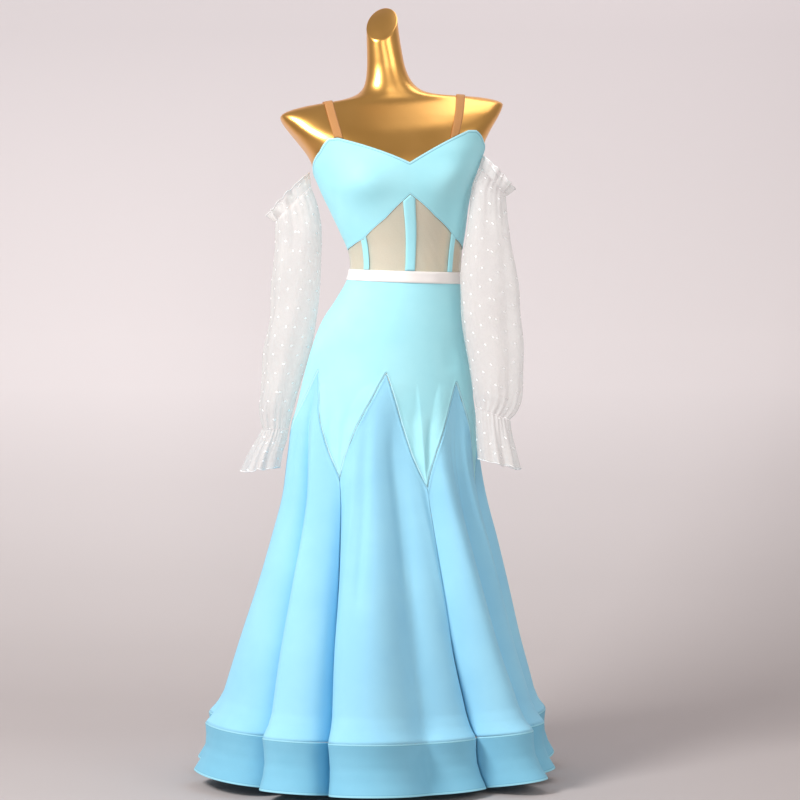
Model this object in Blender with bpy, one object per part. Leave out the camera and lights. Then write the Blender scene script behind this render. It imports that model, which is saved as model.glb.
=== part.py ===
"""Ballroom dance dress on a limbless dress form.

The dress is a pull-on stretch dress: a sweetheart bodice, a see-through midriff with three boning
strips, a satin belt, a fitted skirt yoke with a zigzag lower edge, six godets that fall in twelve deep
folds, a stiff hem band, two elastic straps and two hanging off-shoulder sleeves. It rests by its straps
on a smooth dress form that stands on a pole and a round base.

Frame: +Z is up, the front of the dress faces -Y, and the origin is the middle of the base's underside.
An angle on the body is 0 at the front and grows towards +X, in degrees.
"""

import math

import bmesh
import bpy
from mathutils import Vector
from mathutils.bvhtree import BVHTree

MM = 0.001

# Walls and gaps
CLOTH = 1.6 * MM
SHEER = 1.1 * MM
BAND_WALL = 2.4 * MM
SEAM = 0.35 * MM
STEEP_SEAM = 1.7 * MM
SIDE_SEAM_DEG = 0.09
FORM_INSET = 4.0 * MM

# Heights along the dress
HEM = 30 * MM
BAND_TOP = 118 * MM
KICK_TOP = 158 * MM
WAIST = 951 * MM
BELT_HEIGHT = 21 * MM
DRIFT_TOP = 620 * MM
FORM_CUT = 740 * MM

# Side seams, in degrees round the body
LEFT_SIDE = -87.0
RIGHT_SIDE = 84.0

# One row for each height: height, centre x and y, half width, front depth, back depth (mm),
# turn (degrees), rise towards +X and towards +Y (mm per mm), squareness of the outline.
FIGURE_MM = (
    (20, -6, 4, 285, 258, 272, 0, 0, 0, 2.0),
    (118, -6.5, 4, 282.5, 257, 268, 0, 0, 0, 2.0),
    (158, -5, 4, 273.5, 246.5, 257, 0, 0, 0, 2.0),
    (260, -5, 4, 246.5, 222, 232, 0, 0, 0, 2.0),
    (369, -1.5, 5, 219.5, 192, 204, 0, 0, 0, 2.0),
    (450, -0.5, 6, 201, 164, 178, 0, 0, 0, 2.0),
    (530, -1, 8, 183.5, 140, 155, 0, 0, 0, 2.0),
    (600, -3, 9, 176.5, 124, 141, 0, 0, 0, 2.0),
    (673, -1, 10, 172.5, 114, 133, 0, 0, 0, 2.0),
    (711, 3, 10, 167, 112, 130, 0, 0, 0, 2.0),
    (766, 8, 10, 159, 109, 128, 0, -0.01, 0.01, 2.0),
    (823, 12, 10, 146, 105, 120, 1, -0.02, 0.03, 2.0),
    (865, 19, 10, 135, 100, 109, 2, -0.03, 0.05, 2.0),
    (905, 30, 10, 120, 94, 97, 4, -0.035, 0.07, 2.0),
    (951, 40, 10, 107, 88, 87, 6, -0.035, 0.08, 2.0),
    (1000, 40, 8, 110, 90, 84, 8, 0.0, 0.06, 2.0),
    (1036, 36, 5, 120, 96, 87, 10, 0.03, 0.03, 2.0),
    (1078, 30, 2, 132, 105, 93, 11, 0.06, 0.01, 2.05),
    (1116, 26, 0, 145, 110, 98, 12, 0.08, 0, 2.1),
    (1163, 26, 0, 163, 106, 101, 12, 0.095, 0, 2.3),
    (1190, 24, 2, 172, 97, 98, 12, 0.09, 0, 2.6),
    (1215, 21, 5, 187, 88, 90, 11, 0.085, 0, 2.9),
    (1240, 18, 8, 205, 73, 76, 10, 0.08, 0, 3.0),
    (1258, 16, 10, 216, 61, 64, 10, 0.079, 0, 2.9),
    (1268, 16, 11, 217, 54, 57, 10, 0.079, 0, 2.7),
    (1276, 16, 12, 200, 50, 53, 10, 0.079, 0, 2.5),
    (1283, 16, 12, 165, 48, 51, 10, 0.079, 0, 2.3),
    (1288, 15, 12, 115, 48, 50, 10, 0.079, 0, 2.2),
    (1295, 13, 12, 80, 48, 49, 9, 0.07, 0, 2.1),
    (1305, 11, 11, 60, 47, 47, 8, 0.06, 0, 2.0),
    (1320, 8, 9, 48.5, 44, 44, 6, 0.05, 0, 2.0),
    (1345, 4, 6, 41, 40, 40, 5, 0.04, 0.08, 2.0),
    (1372, 1, 2, 37.5, 37, 37, 4, 0.10, 0.35, 2.0),
    (1402, -2, -1, 35, 35, 35, 2, 0.20, 0.80, 2.0),
    (1428, -4, -3, 33.5, 34, 34, 0, 0.27, 1.20, 2.0),
)

# The bust: two soft rounds on the front
BUST_OUT = 15 * MM
BUST_HEIGHT = 1120 * MM
BUST_REACH = 36 * MM
BUST_ANGLE = 33.0
BUST_SPREAD = 17.0

# Neckline and lower edge of the bodice: angle and height (mm), the same on both sides
NECKLINE_MM = ((0, 1151.5), (38, 1209), (44, 1209), (60, 1189), (72, 1180), (82, 1173), (90, 1164),
               (110, 1147), (140, 1136), (180, 1132))
BODICE_EDGE_MM = ((0, 1094), (6, 1083), (22, 1054), (48, 1020), (70, 1007), (90, 1000), (180, 1000))

# Boning strips: name, angle, half width
BONES = (("bone_left", -49.0, 6.5 * MM), ("bone_centre", -1.0, 8.2 * MM), ("bone_right", 46.0, 6.5 * MM))

# Godets: angle and height (mm) of the peak, then of the yoke's point on its right
GODETS_MM = (
    (-56, 768, -27.5, 571),
    (-1, 765, 26, 553),
    (53, 748, RIGHT_SIDE, 556),
    (115, 744, 147, 560),
    (179, 755, 210.5, 565),
    (242, 766, 360 + LEFT_SIDE, 568),
)

# Folds of the skirt, a row for each ridge and the trough on its right: angle at the yoke and at the
# hem (degrees) and reach at the hem (mm) of the ridge, the same of the trough, then the share of the
# fall that comes as a step close to the trough, on the ridge's left and on its right.
FOLDS = (
    (-72, -76, 40, -56, -43, -44, 0.3, 0.65),
    (-46, -34, 46, -27.5, -17, -44, 0.35, 0.6),
    (-8, -6, 53, 12, 20, -31, 0.85, 0.0),
    (19, 31, -25, 26, 46, -52, 0.0, 0.5),
    (38, 59, 34, 53, 71, -24, 0.4, 0.25),
    (66, 83, 14, 84, 94, -38, 0.2, 0.3),
    (100, 116, 48, 115, 130, -30, 0.3, 0.2),
    (131, 143, 36, 147, 157, -42, 0.2, 0.2),
    (163, 171, 38, 179, 186, -38, 0.2, 0.3),
    (195, 200, 40, 210.5, 214, -44, 0.3, 0.2),
    (227, 230, 40, 242, 245, -38, 0.2, 0.3),
    (257, 259, 42, 273, 272, -44, 0.2, 0.3),
)
INNER_FOLD_TOP = 745 * MM
SEAM_FOLD_TOP = 600 * MM
FOLD_GROWTH = 0.8
STEP_POWER = 5
FOLD_CROWD = 0.45
TROUGH_DIP = 19 * MM
HIGH_REACH = 53
LOW_REACH = -52

# Outward kick of the stiff hem band: height and reach (mm)
KICK_MM = ((20, 38), (30, 33), (52, 20), (74, 13), (95, 13), (118, 17), (128, 9), (138, 4), (158, 0), (200, 0))

# Sleeves, a row for each height: height of the section's centre, its least and greatest x, its
# middle y, half depth (mm), rise towards +X (mm per mm).
SLEEVE_LEFT_MM = (
    (1086, -207, -138, 6, 27, 0.95),
    (1062, -209, -126, 9, 32, 0.60),
    (1029, -210, -118, 12, 36, 0.25),
    (990, -213, -118, 15, 39, 0.08),
    (924, -217, -122, 20, 41, 0),
    (875, -220, -127, 24, 41, 0),
    (812, -231, -139, 28, 40, 0),
    (759, -235, -155, 30, 37, 0),
    (702, -240, -172, 31, 33, 0),
    (680, -238, -178, 31, 28, 0),
    (660, -233, -183, 31, 24, 0),
)
SLEEVE_RIGHT_MM = (
    (1126, 179.6, 232, -12, 27, -1.0),
    (1104, 166, 232, -34, 31, -0.55),
    (1062, 160, 234, -44, 33, -0.25),
    (1020, 154, 240, -50, 35, -0.08),
    (952, 143, 250, -52, 37, 0),
    (918, 143, 256, -52, 38, 0),
    (867, 145, 260, -52, 38, 0),
    (787, 158, 264, -52, 37, 0),
    (724, 167, 260, -52, 34, -0.12),
    (704, 170, 250, -52, 28, -0.28),
    (690, 172, 236, -52, 24, -0.38),
)
CUFF_LEFT_MM = (
    (659, -233, -183, 31, 24, 0),
    (640, -242, -186, 31, 27, 0),
    (614, -256, -193, 31, 33, 0.04),
    (583, -268, -199, 31, 38, 0.10),
)
CUFF_RIGHT_MM = (
    (689, 172, 236, -52, 24, -0.38),
    (666, 172, 239, -53, 27, -0.34),
    (638, 173, 244, -55, 32, -0.28),
    (596, 177, 252, -58, 37, -0.24),
)
FRILL_LEFT_MM = (
    (1087, -207, -138, 6, 27, 0.95),
    (1097, -213, -140, 6, 31, 0.98),
    (1108, -218, -143, 6, 34, 1.0),
)
FRILL_RIGHT_MM = (
    (1127, 179.6, 232, -12, 27, -1.0),
    (1137, 183, 238, -12, 31, -1.02),
    (1147, 188, 243, -12, 34, -1.05),
)
SLEEVE_GATHERS = 8
CUFF_WAVES = 9
FRILL_WAVES = 10
GATHER_DEPTH = 2.5 * MM
CUFF_DEPTH = 6 * MM
FRILL_DEPTH = 4 * MM

# Straps: name, x where they leave the bodice, at the shoulder's top and at the back (mm)
STRAPS_MM = (("strap_left", -83, -113, -88), ("strap_right", 132, 146, 124))
STRAP_WIDTH = 17 * MM
STRAP_WALL = 1.2 * MM
STRAP_GAP = 1.3 * MM
STRAP_EYE = Vector((0, 0.008, 1.175))
STRAP_STEPS = 34

# The form's rounded foot, height (mm) and share of the width at the cut, then the heights of its rings
FORM_SIDES = 32
FORM_FOOT_MM = ((608, 0.22), (611, 0.48), (620, 0.72), (638, 0.84), (664, 0.895), (700, 0.94), (722, 0.97))
FORM_RINGS_MM = (740, 780, 820, 860, 895, 925, 951, 968, 990, 1012, 1040, 1070, 1098, 1125, 1152, 1180,
                 1207, 1230, 1248, 1261, 1270, 1278, 1284, 1289, 1296, 1306, 1322, 1348, 1375, 1402, 1428)

# Stand of the form
POLE_RADIUS = 16 * MM
BASE_RADIUS = 165 * MM
BASE_THICKNESS = 12 * MM
POLE_TOP = 607.7 * MM

COLOURS = {
    "aqua crepe": ((0.50, 0.86, 0.93), 0.75, 0.0),
    "aqua georgette": ((0.46, 0.78, 0.93), 0.8, 0.0),
    "aqua hem band": ((0.40, 0.72, 0.88), 0.8, 0.0),
    "nude mesh": ((0.74, 0.74, 0.60), 0.8, 0.0),
    "white satin": ((0.92, 0.90, 0.89), 0.35, 0.0),
    "tan elastic": ((0.82, 0.53, 0.30), 0.7, 0.0),
    "white organza": ((0.93, 0.93, 0.92), 0.6, 0.0),
    "gold lacquer": ((0.80, 0.55, 0.20), 0.2, 1.0),
    "steel": ((0.60, 0.60, 0.60), 0.35, 1.0),
}


def smooth_columns(rows, height):
    """The columns of a table at a height, on a smooth curve through its rows."""
    k = 0
    while k < len(rows) - 2 and height > rows[k + 1][0]:
        k += 1
    low = rows[k]
    high = rows[k + 1]
    before = rows[max(k - 1, 0)]
    after = rows[min(k + 2, len(rows) - 1)]
    span = high[0] - low[0]
    t = min(max((height - low[0]) / span, 0.0), 1.0)
    columns = []
    for c in range(1, len(low)):
        slope_low = (high[c] - before[c]) / (high[0] - before[0]) * span
        slope_high = (after[c] - low[c]) / (after[0] - low[0]) * span
        columns.append((2 * t ** 3 - 3 * t ** 2 + 1) * low[c] + (t ** 3 - 2 * t ** 2 + t) * slope_low
                       + (3 * t ** 2 - 2 * t ** 3) * high[c] + (t ** 3 - t ** 2) * slope_high)
    return columns


def straight_column(rows, position):
    """The second column of a table at a position, on straight lines through its rows."""
    for low, high in zip(rows, rows[1:]):
        if position <= high[0]:
            share = (position - low[0]) / (high[0] - low[0])
            return low[1] + (high[1] - low[1]) * min(max(share, 0.0), 1.0)
    return rows[-1][1]


def bust(angle, height):
    """How far the bust stands out at an angle and a height."""
    rise = math.exp(-((height - BUST_HEIGHT) / BUST_REACH) ** 2)
    side = math.exp(-((abs(angle) - BUST_ANGLE) / BUST_SPREAD) ** 2)
    return BUST_OUT * rise * side


def figure_point(angle, height, out=0.0):
    """A point of the figure's outline, moved out of it by a distance."""
    angle = (angle + 180.0) % 360.0 - 180.0
    cx, cy, width, front, back, turn, rise_x, rise_y, square = smooth_columns(FIGURE_MM, height / MM)
    sine = math.sin(math.radians(angle))
    cosine = math.cos(math.radians(angle))
    depth = front if cosine > 0 else back
    stretch = (abs(sine) ** square + abs(cosine) ** square) ** (-1.0 / square)
    x = sine * stretch
    y = -cosine * stretch
    normal = Vector((math.copysign(abs(x) ** (square - 1.0), x) / width,
                     math.copysign(abs(y) ** (square - 1.0), y) / depth)).normalized()
    out += bust(angle, height)
    x = x * width * MM + normal.x * out
    y = y * depth * MM + normal.y * out
    c = math.cos(math.radians(turn))
    s = math.sin(math.radians(turn))
    x, y = x * c - y * s, x * s + y * c
    return Vector((cx * MM + x, cy * MM + y, height + rise_x * x + rise_y * y))


def fold_nodes():
    """The ridges and troughs in order: angle at the yoke, at the hem, reach, ridge or not, steps."""
    nodes = []
    for row in FOLDS:
        nodes.append((row[0], row[1], row[2], True, row[6], row[7]))
        nodes.append((row[3], row[4], row[5], False, 0, 0))
    first = nodes[0]
    nodes.append((first[0] + 360, first[1] + 360) + first[2:])
    return nodes


FOLD_NODES = fold_nodes()
SEAM_ANGLES = [row[2] for row in GODETS_MM]


def skirt_point(angle, height):
    """A point of the skirt: the figure's outline thrown into folds that deepen towards the hem."""
    while angle < FOLD_NODES[0][0]:
        angle += 360.0
    while angle >= FOLD_NODES[-1][0]:
        angle -= 360.0
    k = 0
    while angle > FOLD_NODES[k + 1][0]:
        k += 1
    here = FOLD_NODES[k]
    there = FOLD_NODES[k + 1]
    share = (angle - here[0]) / (there[0] - here[0])
    ridge, trough, side = (here, there, 1) if here[3] else (there, here, -1)
    if side < 0:
        share = 1.0 - share
    swing = share + FOLD_CROWD * math.sin(math.pi * share) / math.pi
    hem_angle = ridge[1] + (trough[1] - ridge[1]) * swing
    step = ridge[5] if side > 0 else ridge[4]
    wave = 1.0 - (1.0 - step) * (1.0 - math.cos(math.pi * share)) / 2.0 - step * share ** STEP_POWER
    seam_trough = any(abs(trough[0] - seam) < 0.01 or abs(trough[0] - 360 - seam) < 0.01
                      for seam in SEAM_ANGLES)
    start = INNER_FOLD_TOP
    if seam_trough:
        start = SEAM_FOLD_TOP + (INNER_FOLD_TOP - SEAM_FOLD_TOP) * wave
    growth = max((start - height) / (start - HEM), 0.0) ** FOLD_GROWTH
    drift = min(max((DRIFT_TOP - height) / (DRIFT_TOP - HEM), 0.0), 1.0)
    turned = angle + (hem_angle - angle) * drift
    reach = trough[2] + (ridge[2] - trough[2]) * wave
    out = reach * MM * growth + straight_column(KICK_MM, height / MM) * MM
    point = figure_point(turned, height, out)
    point.z -= TROUGH_DIP * (HIGH_REACH - reach) / (HIGH_REACH - LOW_REACH) * growth ** 2
    return point


def seam_height(angle):
    """Height of the zigzag seam between yoke and godets at an angle."""
    while angle < LEFT_SIDE:
        angle += 360.0
    while angle > 360.0 + LEFT_SIDE:
        angle -= 360.0
    left = (LEFT_SIDE, GODETS_MM[-1][3])
    for peak_angle, peak, point_angle, point in GODETS_MM:
        if angle <= point_angle:
            edge = left if angle < peak_angle else (point_angle, point)
            share = abs(angle - peak_angle) / abs(edge[0] - peak_angle)
            return (peak - (peak - edge[1]) * share ** 1.1) * MM
        left = (point_angle, point)
    return left[1] * MM


def neckline(angle):
    """Height of the bodice's upper edge at an angle."""
    return straight_column(NECKLINE_MM, abs((angle + 180.0) % 360.0 - 180.0)) * MM


def bodice_edge(angle):
    """Height of the bodice's lower edge at an angle."""
    return straight_column(BODICE_EDGE_MM, abs((angle + 180.0) % 360.0 - 180.0)) * MM


def spread(start, end, steps):
    """Evenly spaced values from start to end."""
    return [start + (end - start) * k / steps for k in range(steps + 1)]


def chain(*stops_and_steps):
    """Values that run through stops: stop, steps, stop, steps, stop."""
    values = [stops_and_steps[0]]
    for k in range(1, len(stops_and_steps), 2):
        values += spread(values[-1], stops_and_steps[k + 1], stops_and_steps[k])[1:]
    return values


def material(name):
    """A plain material with a piece's colour, roughness and metallic value."""
    found = bpy.data.materials.get(name)
    if found:
        return found
    colour, roughness, metallic = COLOURS[name]
    made = bpy.data.materials.new(name)
    made.use_nodes = True
    shader = made.node_tree.nodes["Principled BSDF"]
    shader.inputs["Base Color"].default_value = (*colour, 1.0)
    shader.inputs["Roughness"].default_value = roughness
    shader.inputs["Metallic"].default_value = metallic
    return made


def add_object(name, bm, finish):
    """Turn a bmesh into a named, smooth-shaded object."""
    mesh = bpy.data.meshes.new(name)
    bm.to_mesh(mesh)
    bm.free()
    mesh.shade_smooth()
    mesh.materials.append(material(finish))
    made = bpy.data.objects.new(name, mesh)
    bpy.context.scene.collection.objects.link(made)
    return made


def surface_normal(surface, angle, height):
    """The outward normal of a surface at an angle and a height."""
    across = surface(angle + 0.5, height) - surface(angle - 0.5, height)
    upward = surface(angle, height + MM) - surface(angle, height - MM)
    return across.cross(upward).normalized()


def cloth_wall(name, angles, heights_at, surface, thickness, finish, closed=False):
    """A closed wall of cloth: a grid over angles and heights on a surface, thickened inwards."""
    bm = bmesh.new()
    columns = len(angles) - 1
    rows = len(heights_at(angles[0])) - 1
    bmesh.ops.create_grid(bm, x_segments=columns, y_segments=rows, size=0.5)
    inward = {}
    column_of = {}
    for vert in bm.verts:
        column_of[vert] = round((vert.co.x + 0.5) * columns)
        angle = angles[column_of[vert]]
        height = heights_at(angle)[round((vert.co.y + 0.5) * rows)]
        vert.co = surface(angle, height)
        inward[vert] = surface_normal(surface, angle, height) * -thickness
    rims = [[loop.vert for loop in (edge.link_loops[0], edge.link_loops[0].link_loop_next)]
            for edge in bm.edges if edge.is_boundary]
    bmesh.ops.triangulate(bm, faces=bm.faces, quad_method="SHORT_EDGE")
    outer_faces = list(bm.faces)
    inner = {vert: bm.verts.new(vert.co + step) for vert, step in inward.items()}
    for face in outer_faces:
        bm.faces.new([inner[vert] for vert in reversed(face.verts)])
    for first, second in rims:
        ends = {column_of[first], column_of[second]}
        if closed and ends in ({0}, {columns}):
            continue
        bm.faces.new((second, first, inner[first], inner[second]))
    if closed:
        bmesh.ops.remove_doubles(bm, verts=bm.verts, dist=0.00001)
    return add_object(name, bm, finish)


def shares(lower, upper, rows):
    """Heights in even steps from a lower edge to an upper edge, both functions of the angle."""
    def heights(angle):
        return spread(lower(angle), upper(angle), rows)
    return heights


def at(height):
    """An edge that lies at one height."""
    return lambda angle: height


def mirrored(half):
    """Angles on both sides of 0 from those on one side, then closed by the two side seams."""
    return ([LEFT_SIDE + SIDE_SEAM_DEG] + [-angle for angle in reversed(half)] + list(half[1:])
            + [RIGHT_SIDE - SIDE_SEAM_DEG])


def back_angles(steps):
    """Angles across the back, from side seam to side seam."""
    return spread(RIGHT_SIDE + SIDE_SEAM_DEG, 360 + LEFT_SIDE - SIDE_SEAM_DEG, steps)


def make_bodice():
    """Bodice front and back, from the zigzag lower edge up to the neckline."""
    front = mirrored((0, 6, 14, 22, 30, 38, 44, 48, 54, 60, 70, 77))
    heights = shares(bodice_edge, neckline, 6)
    cloth_wall("bodice_front", front, heights, figure_point, CLOTH, "aqua crepe")
    cloth_wall("bodice_back", back_angles(20), heights, figure_point, CLOTH, "aqua crepe")


def midriff_heights(angle):
    """Heights of the midriff's rows, closer where the waist curves most."""
    foot = WAIST + SEAM
    top = bodice_edge(angle) - 2 * SEAM
    return [foot + (top - foot) * share for share in (0, 0.25, 0.5, 0.75, 1)]


def make_midriff():
    """See-through midriff, front and back, between the belt and the bodice."""
    front = mirrored((0, 6, 14, 22, 35, 48, 59, 70))

    def mesh_point(angle, height):
        return figure_point(angle, height, -0.6 * MM)

    cloth_wall("midriff_front", front, midriff_heights, mesh_point, SHEER, "nude mesh")
    cloth_wall("midriff_back", back_angles(20), midriff_heights, mesh_point, SHEER, "nude mesh")


def make_bones():
    """Three narrow boning strips that lie on the midriff."""
    foot = WAIST + BELT_HEIGHT / 2 + SEAM

    def bone_point(angle, height):
        return figure_point(angle, height, 1.7 * MM)

    def top(angle):
        return bodice_edge(angle) - 3 * SEAM

    for name, middle, half_width in BONES:
        half_angle = math.degrees(half_width / (95 * MM))
        angles = spread(middle - half_angle, middle + half_angle, 4)
        cloth_wall(name, angles, shares(at(foot), top, 5), bone_point, 1.2 * MM, "aqua crepe")


def make_belt():
    """The satin belt, a ring over the waist seam."""
    def belt_point(angle, height):
        return figure_point(angle, height, 2.5 * MM)

    heights = shares(at(WAIST - BELT_HEIGHT / 2), at(WAIST + BELT_HEIGHT / 2), 1)
    cloth_wall("belt", spread(-180, 180, 40), heights, belt_point, 1.8 * MM, "white satin", closed=True)


def godet_angles(index, seam):
    """Column angles of one godet, through its ridges, with its edges drawn in by a seam allowance."""
    left = GODETS_MM[index - 1][2] - (360 if index == 0 else 0)
    first = FOLDS[2 * index]
    second = FOLDS[2 * index + 1]
    return chain(left + seam, 3, first[0], 3, first[3], 3, second[0], 3, second[3] - seam)


def make_yoke():
    """Skirt yoke, front and back, from the waist down to the zigzag seam."""
    hip_rows = [height * MM for height in (800, 835, 868, 898, 923, 940)] + [WAIST - SEAM]

    def heights(angle):
        foot = seam_height(angle) + STEEP_SEAM / 2
        return spread(foot, hip_rows[0], 2) + hip_rows[1:]

    def panel_angles(indices):
        angles = []
        for index in indices:
            angles += godet_angles(index, 0.0)[1 if angles else 0:]
        angles[0] += SIDE_SEAM_DEG
        angles[-1] -= SIDE_SEAM_DEG
        return angles

    cloth_wall("yoke_front", panel_angles((0, 1, 2)), heights, skirt_point, CLOTH, "aqua crepe")
    cloth_wall("yoke_back", panel_angles((3, 4, 5)), heights, skirt_point, CLOTH, "aqua crepe")


def make_godets():
    """Six godets between the zigzag seam and the hem band."""
    low_rows = [BAND_TOP + SEAM, 138 * MM]

    def heights(angle):
        return low_rows + spread(KICK_TOP, seam_height(angle) - STEEP_SEAM / 2, 6)

    for index in range(len(GODETS_MM)):
        angles = godet_angles(index, SIDE_SEAM_DEG)
        cloth_wall("godet_%d" % (index + 1), angles, heights, skirt_point, CLOTH, "aqua georgette")


def make_hem_bands():
    """The stiff hem band, one length below each godet."""
    heights = shares(at(HEM), at(BAND_TOP - SEAM), 2)
    for index in range(len(GODETS_MM)):
        angles = godet_angles(index, SIDE_SEAM_DEG)
        cloth_wall("hem_band_%d" % (index + 1), angles, heights, skirt_point, BAND_WALL, "aqua hem band")


def cloth_tube(name, table, columns, rows, waves, depth_at, finish):
    """A hanging tube of cloth, its sections given by a table, with gathers of changing depth."""
    ordered = sorted(table)
    low = ordered[0][0] * MM
    high = ordered[-1][0] * MM

    def surface(angle, height):
        left, right, middle_y, depth, rise = smooth_columns(ordered, height / MM)
        sine = math.sin(math.radians(angle))
        cosine = math.cos(math.radians(angle))
        share = (height - low) / (high - low)
        wave = depth_at(share, sine) * math.cos(math.radians(waves * angle))
        x = ((right - left) / 2 * MM + wave) * sine
        y = -(depth * MM + wave) * cosine
        return Vector(((left + right) / 2 * MM + x, middle_y * MM + y, height + rise * x))

    cloth_wall(name, spread(0, 360, columns), shares(at(low), at(high), rows), surface, SHEER, finish,
               closed=True)


def make_sleeves():
    """Two hanging sleeves, each with a gathered tube, a header frill and a cuff flounce."""
    def gathers(share, sine):
        return GATHER_DEPTH * (0.35 + 0.65 * abs(2 * share - 1) ** 2)

    def flounce(share, sine):
        return CUFF_DEPTH * (1 - share) + 0.4 * MM

    def frill_left(share, sine):
        return FRILL_DEPTH * (0.2 + share) * (1 - sine) / 2

    def frill_right(share, sine):
        return FRILL_DEPTH * (0.2 + share) * (1 + sine) / 2

    finish = "white organza"
    for side, tube, cuff, frill, frill_depth in (
            ("left", SLEEVE_LEFT_MM, CUFF_LEFT_MM, FRILL_LEFT_MM, frill_left),
            ("right", SLEEVE_RIGHT_MM, CUFF_RIGHT_MM, FRILL_RIGHT_MM, frill_right)):
        cloth_tube("sleeve_" + side, tube, 4 * SLEEVE_GATHERS, 9, SLEEVE_GATHERS, gathers, finish)
        cloth_tube("cuff_" + side, cuff, 4 * CUFF_WAVES, 2, CUFF_WAVES, flounce, finish)
        cloth_tube("frill_" + side, frill, 4 * FRILL_WAVES, 1, FRILL_WAVES, frill_depth, finish)


def make_form():
    """The dress form: torso, shoulder caps and neck as one smooth closed body."""
    angles = spread(0, 360, FORM_SIDES)[1:]
    bm = bmesh.new()
    rings = []
    cut_middle = sum((figure_point(angle, FORM_CUT) for angle in angles), Vector()) / FORM_SIDES
    for height, share in FORM_FOOT_MM:
        ring = []
        for angle in angles:
            point = cut_middle.lerp(figure_point(angle, FORM_CUT, -FORM_INSET), share)
            point.z = height * MM
            ring.append(bm.verts.new(point))
        rings.append(ring)
    for height in FORM_RINGS_MM:
        rings.append([bm.verts.new(figure_point(angle, height * MM, -FORM_INSET)) for angle in angles])
    for low, high in zip(rings, rings[1:]):
        for k in range(FORM_SIDES):
            n = (k + 1) % FORM_SIDES
            bm.faces.new((low[k], low[n], high[n], high[k]))
    bm.faces.new(list(reversed(rings[0])))
    bm.faces.new(rings[-1])
    bm.normal_update()
    tree = BVHTree.FromBMesh(bm)
    add_object("dress_form", bm, "gold lacquer")
    return tree


def edge_height(x, angles):
    """Height of the bodice's upper edge where it passes a given x."""
    points = [figure_point(angle, neckline(angle)) for angle in angles]
    return min(points, key=lambda point: abs(point.x - x)).z


def strap_hit(tree, x, elevation):
    """Where a ray from inside the form, in a plane of constant x, leaves the form."""
    start = Vector((x, STRAP_EYE.y, STRAP_EYE.z))
    ray = Vector((0, -math.cos(elevation), math.sin(elevation)))
    place, normal, index, distance = tree.ray_cast(start, ray)
    if normal.dot(ray) < 0:
        normal = -normal
    return place + normal * STRAP_GAP


def strap_limit(tree, x, target, low, high):
    """The elevation at which the strap reaches a given height, found by halving."""
    for _ in range(30):
        middle = (low + high) / 2
        if strap_hit(tree, x, middle).z < target:
            low = middle
        else:
            high = middle
    return high


def make_straps(tree):
    """Two elastic straps that lie on the shoulders and meet the bodice at front and back."""
    for name, front_mm, top_mm, back_mm in STRAPS_MM:
        edges = []
        for offset in (-0.5, 0.0, 0.5):
            shift = offset * STRAP_WIDTH
            front = front_mm * MM + shift
            back = back_mm * MM + shift
            front_edge = edge_height(front, spread(-90, 90, 720)) + 2 * SEAM
            back_edge = edge_height(back, spread(90, 270, 720)) + 5 * SEAM
            first = strap_limit(tree, front, front_edge, -0.6, 1.2)
            last = math.pi - strap_limit_back(tree, back, back_edge)
            edges.append((front, top_mm * MM + shift, back, first, last))
        bm = bmesh.new()
        bmesh.ops.create_grid(bm, x_segments=2, y_segments=STRAP_STEPS, size=0.5)
        for vert in bm.verts:
            front, top, back, first, last = edges[round((vert.co.x + 0.5) * 2)]
            share = round((vert.co.y + 0.5) * STRAP_STEPS) / STRAP_STEPS
            elevation = first + (last - first) * share
            lean = math.sin(math.pi * share)
            x = front + (back - front) * share
            x += (top - (front + back) / 2) * lean
            vert.co = strap_hit(tree, x, elevation)
        bmesh.ops.triangulate(bm, faces=bm.faces, quad_method="SHORT_EDGE")
        strap = add_object(name, bm, "tan elastic")
        wall = strap.modifiers.new("Elastic thickness", "SOLIDIFY")
        wall.thickness = STRAP_WALL
        wall.offset = 1.0


def strap_limit_back(tree, x, target):
    """The elevation behind the form at which the strap reaches a given height."""
    low = -0.6
    high = 1.2
    for _ in range(30):
        middle = (low + high) / 2
        if strap_hit(tree, x, math.pi - middle).z < target:
            low = middle
        else:
            high = middle
    return high


def turned_solid(name, profile, segments, finish):
    """A solid turned about the Z axis from a profile that runs from axis to axis."""
    bm = bmesh.new()
    verts = [bm.verts.new((radius, 0, height)) for radius, height in profile]
    edges = [bm.edges.new(pair) for pair in zip(verts, verts[1:])]
    bmesh.ops.spin(bm, geom=verts + edges, cent=(0, 0, 0), axis=(0, 0, 1), angle=math.tau,
                   steps=segments, use_merge=True)
    bmesh.ops.remove_doubles(bm, verts=bm.verts, dist=0.00001)
    bmesh.ops.recalc_face_normals(bm, faces=bm.faces)
    made = add_object(name, bm, finish)
    made.data.set_sharp_from_angle(angle=math.radians(40))
    return made


def make_stand():
    """Round base plate and pole under the form."""
    bevel = 3 * MM
    turned_solid("form_base", ((0, 0), (BASE_RADIUS, 0), (BASE_RADIUS, BASE_THICKNESS - bevel),
                               (BASE_RADIUS - bevel, BASE_THICKNESS), (0, BASE_THICKNESS)), 40, "steel")
    foot = BASE_THICKNESS + 0.3 * MM
    turned_solid("form_pole", ((0, foot), (POLE_RADIUS, foot), (POLE_RADIUS, POLE_TOP), (0, POLE_TOP)), 20,
                 "steel")


def main():
    """Clear the scene and build every piece."""
    for old in list(bpy.data.objects):
        bpy.data.objects.remove(old)
    make_stand()
    form_tree = make_form()
    make_bodice()
    make_midriff()
    make_bones()
    make_belt()
    make_yoke()
    make_godets()
    make_hem_bands()
    make_sleeves()
    make_straps(form_tree)


main()
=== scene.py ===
# %% [markdown]
# # A ballroom dance dress on its dress form
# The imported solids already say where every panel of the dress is. This script dresses them: each
# cloth panel is made again as a fine, thin shell on the same surface, and gets its weave, sheen,
# seams and creases. The solids stay the measure for every place and size.

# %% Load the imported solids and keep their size
import math
import bmesh
import bpy
import numpy as np
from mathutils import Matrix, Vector
from mathutils.bvhtree import BVHTree


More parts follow.
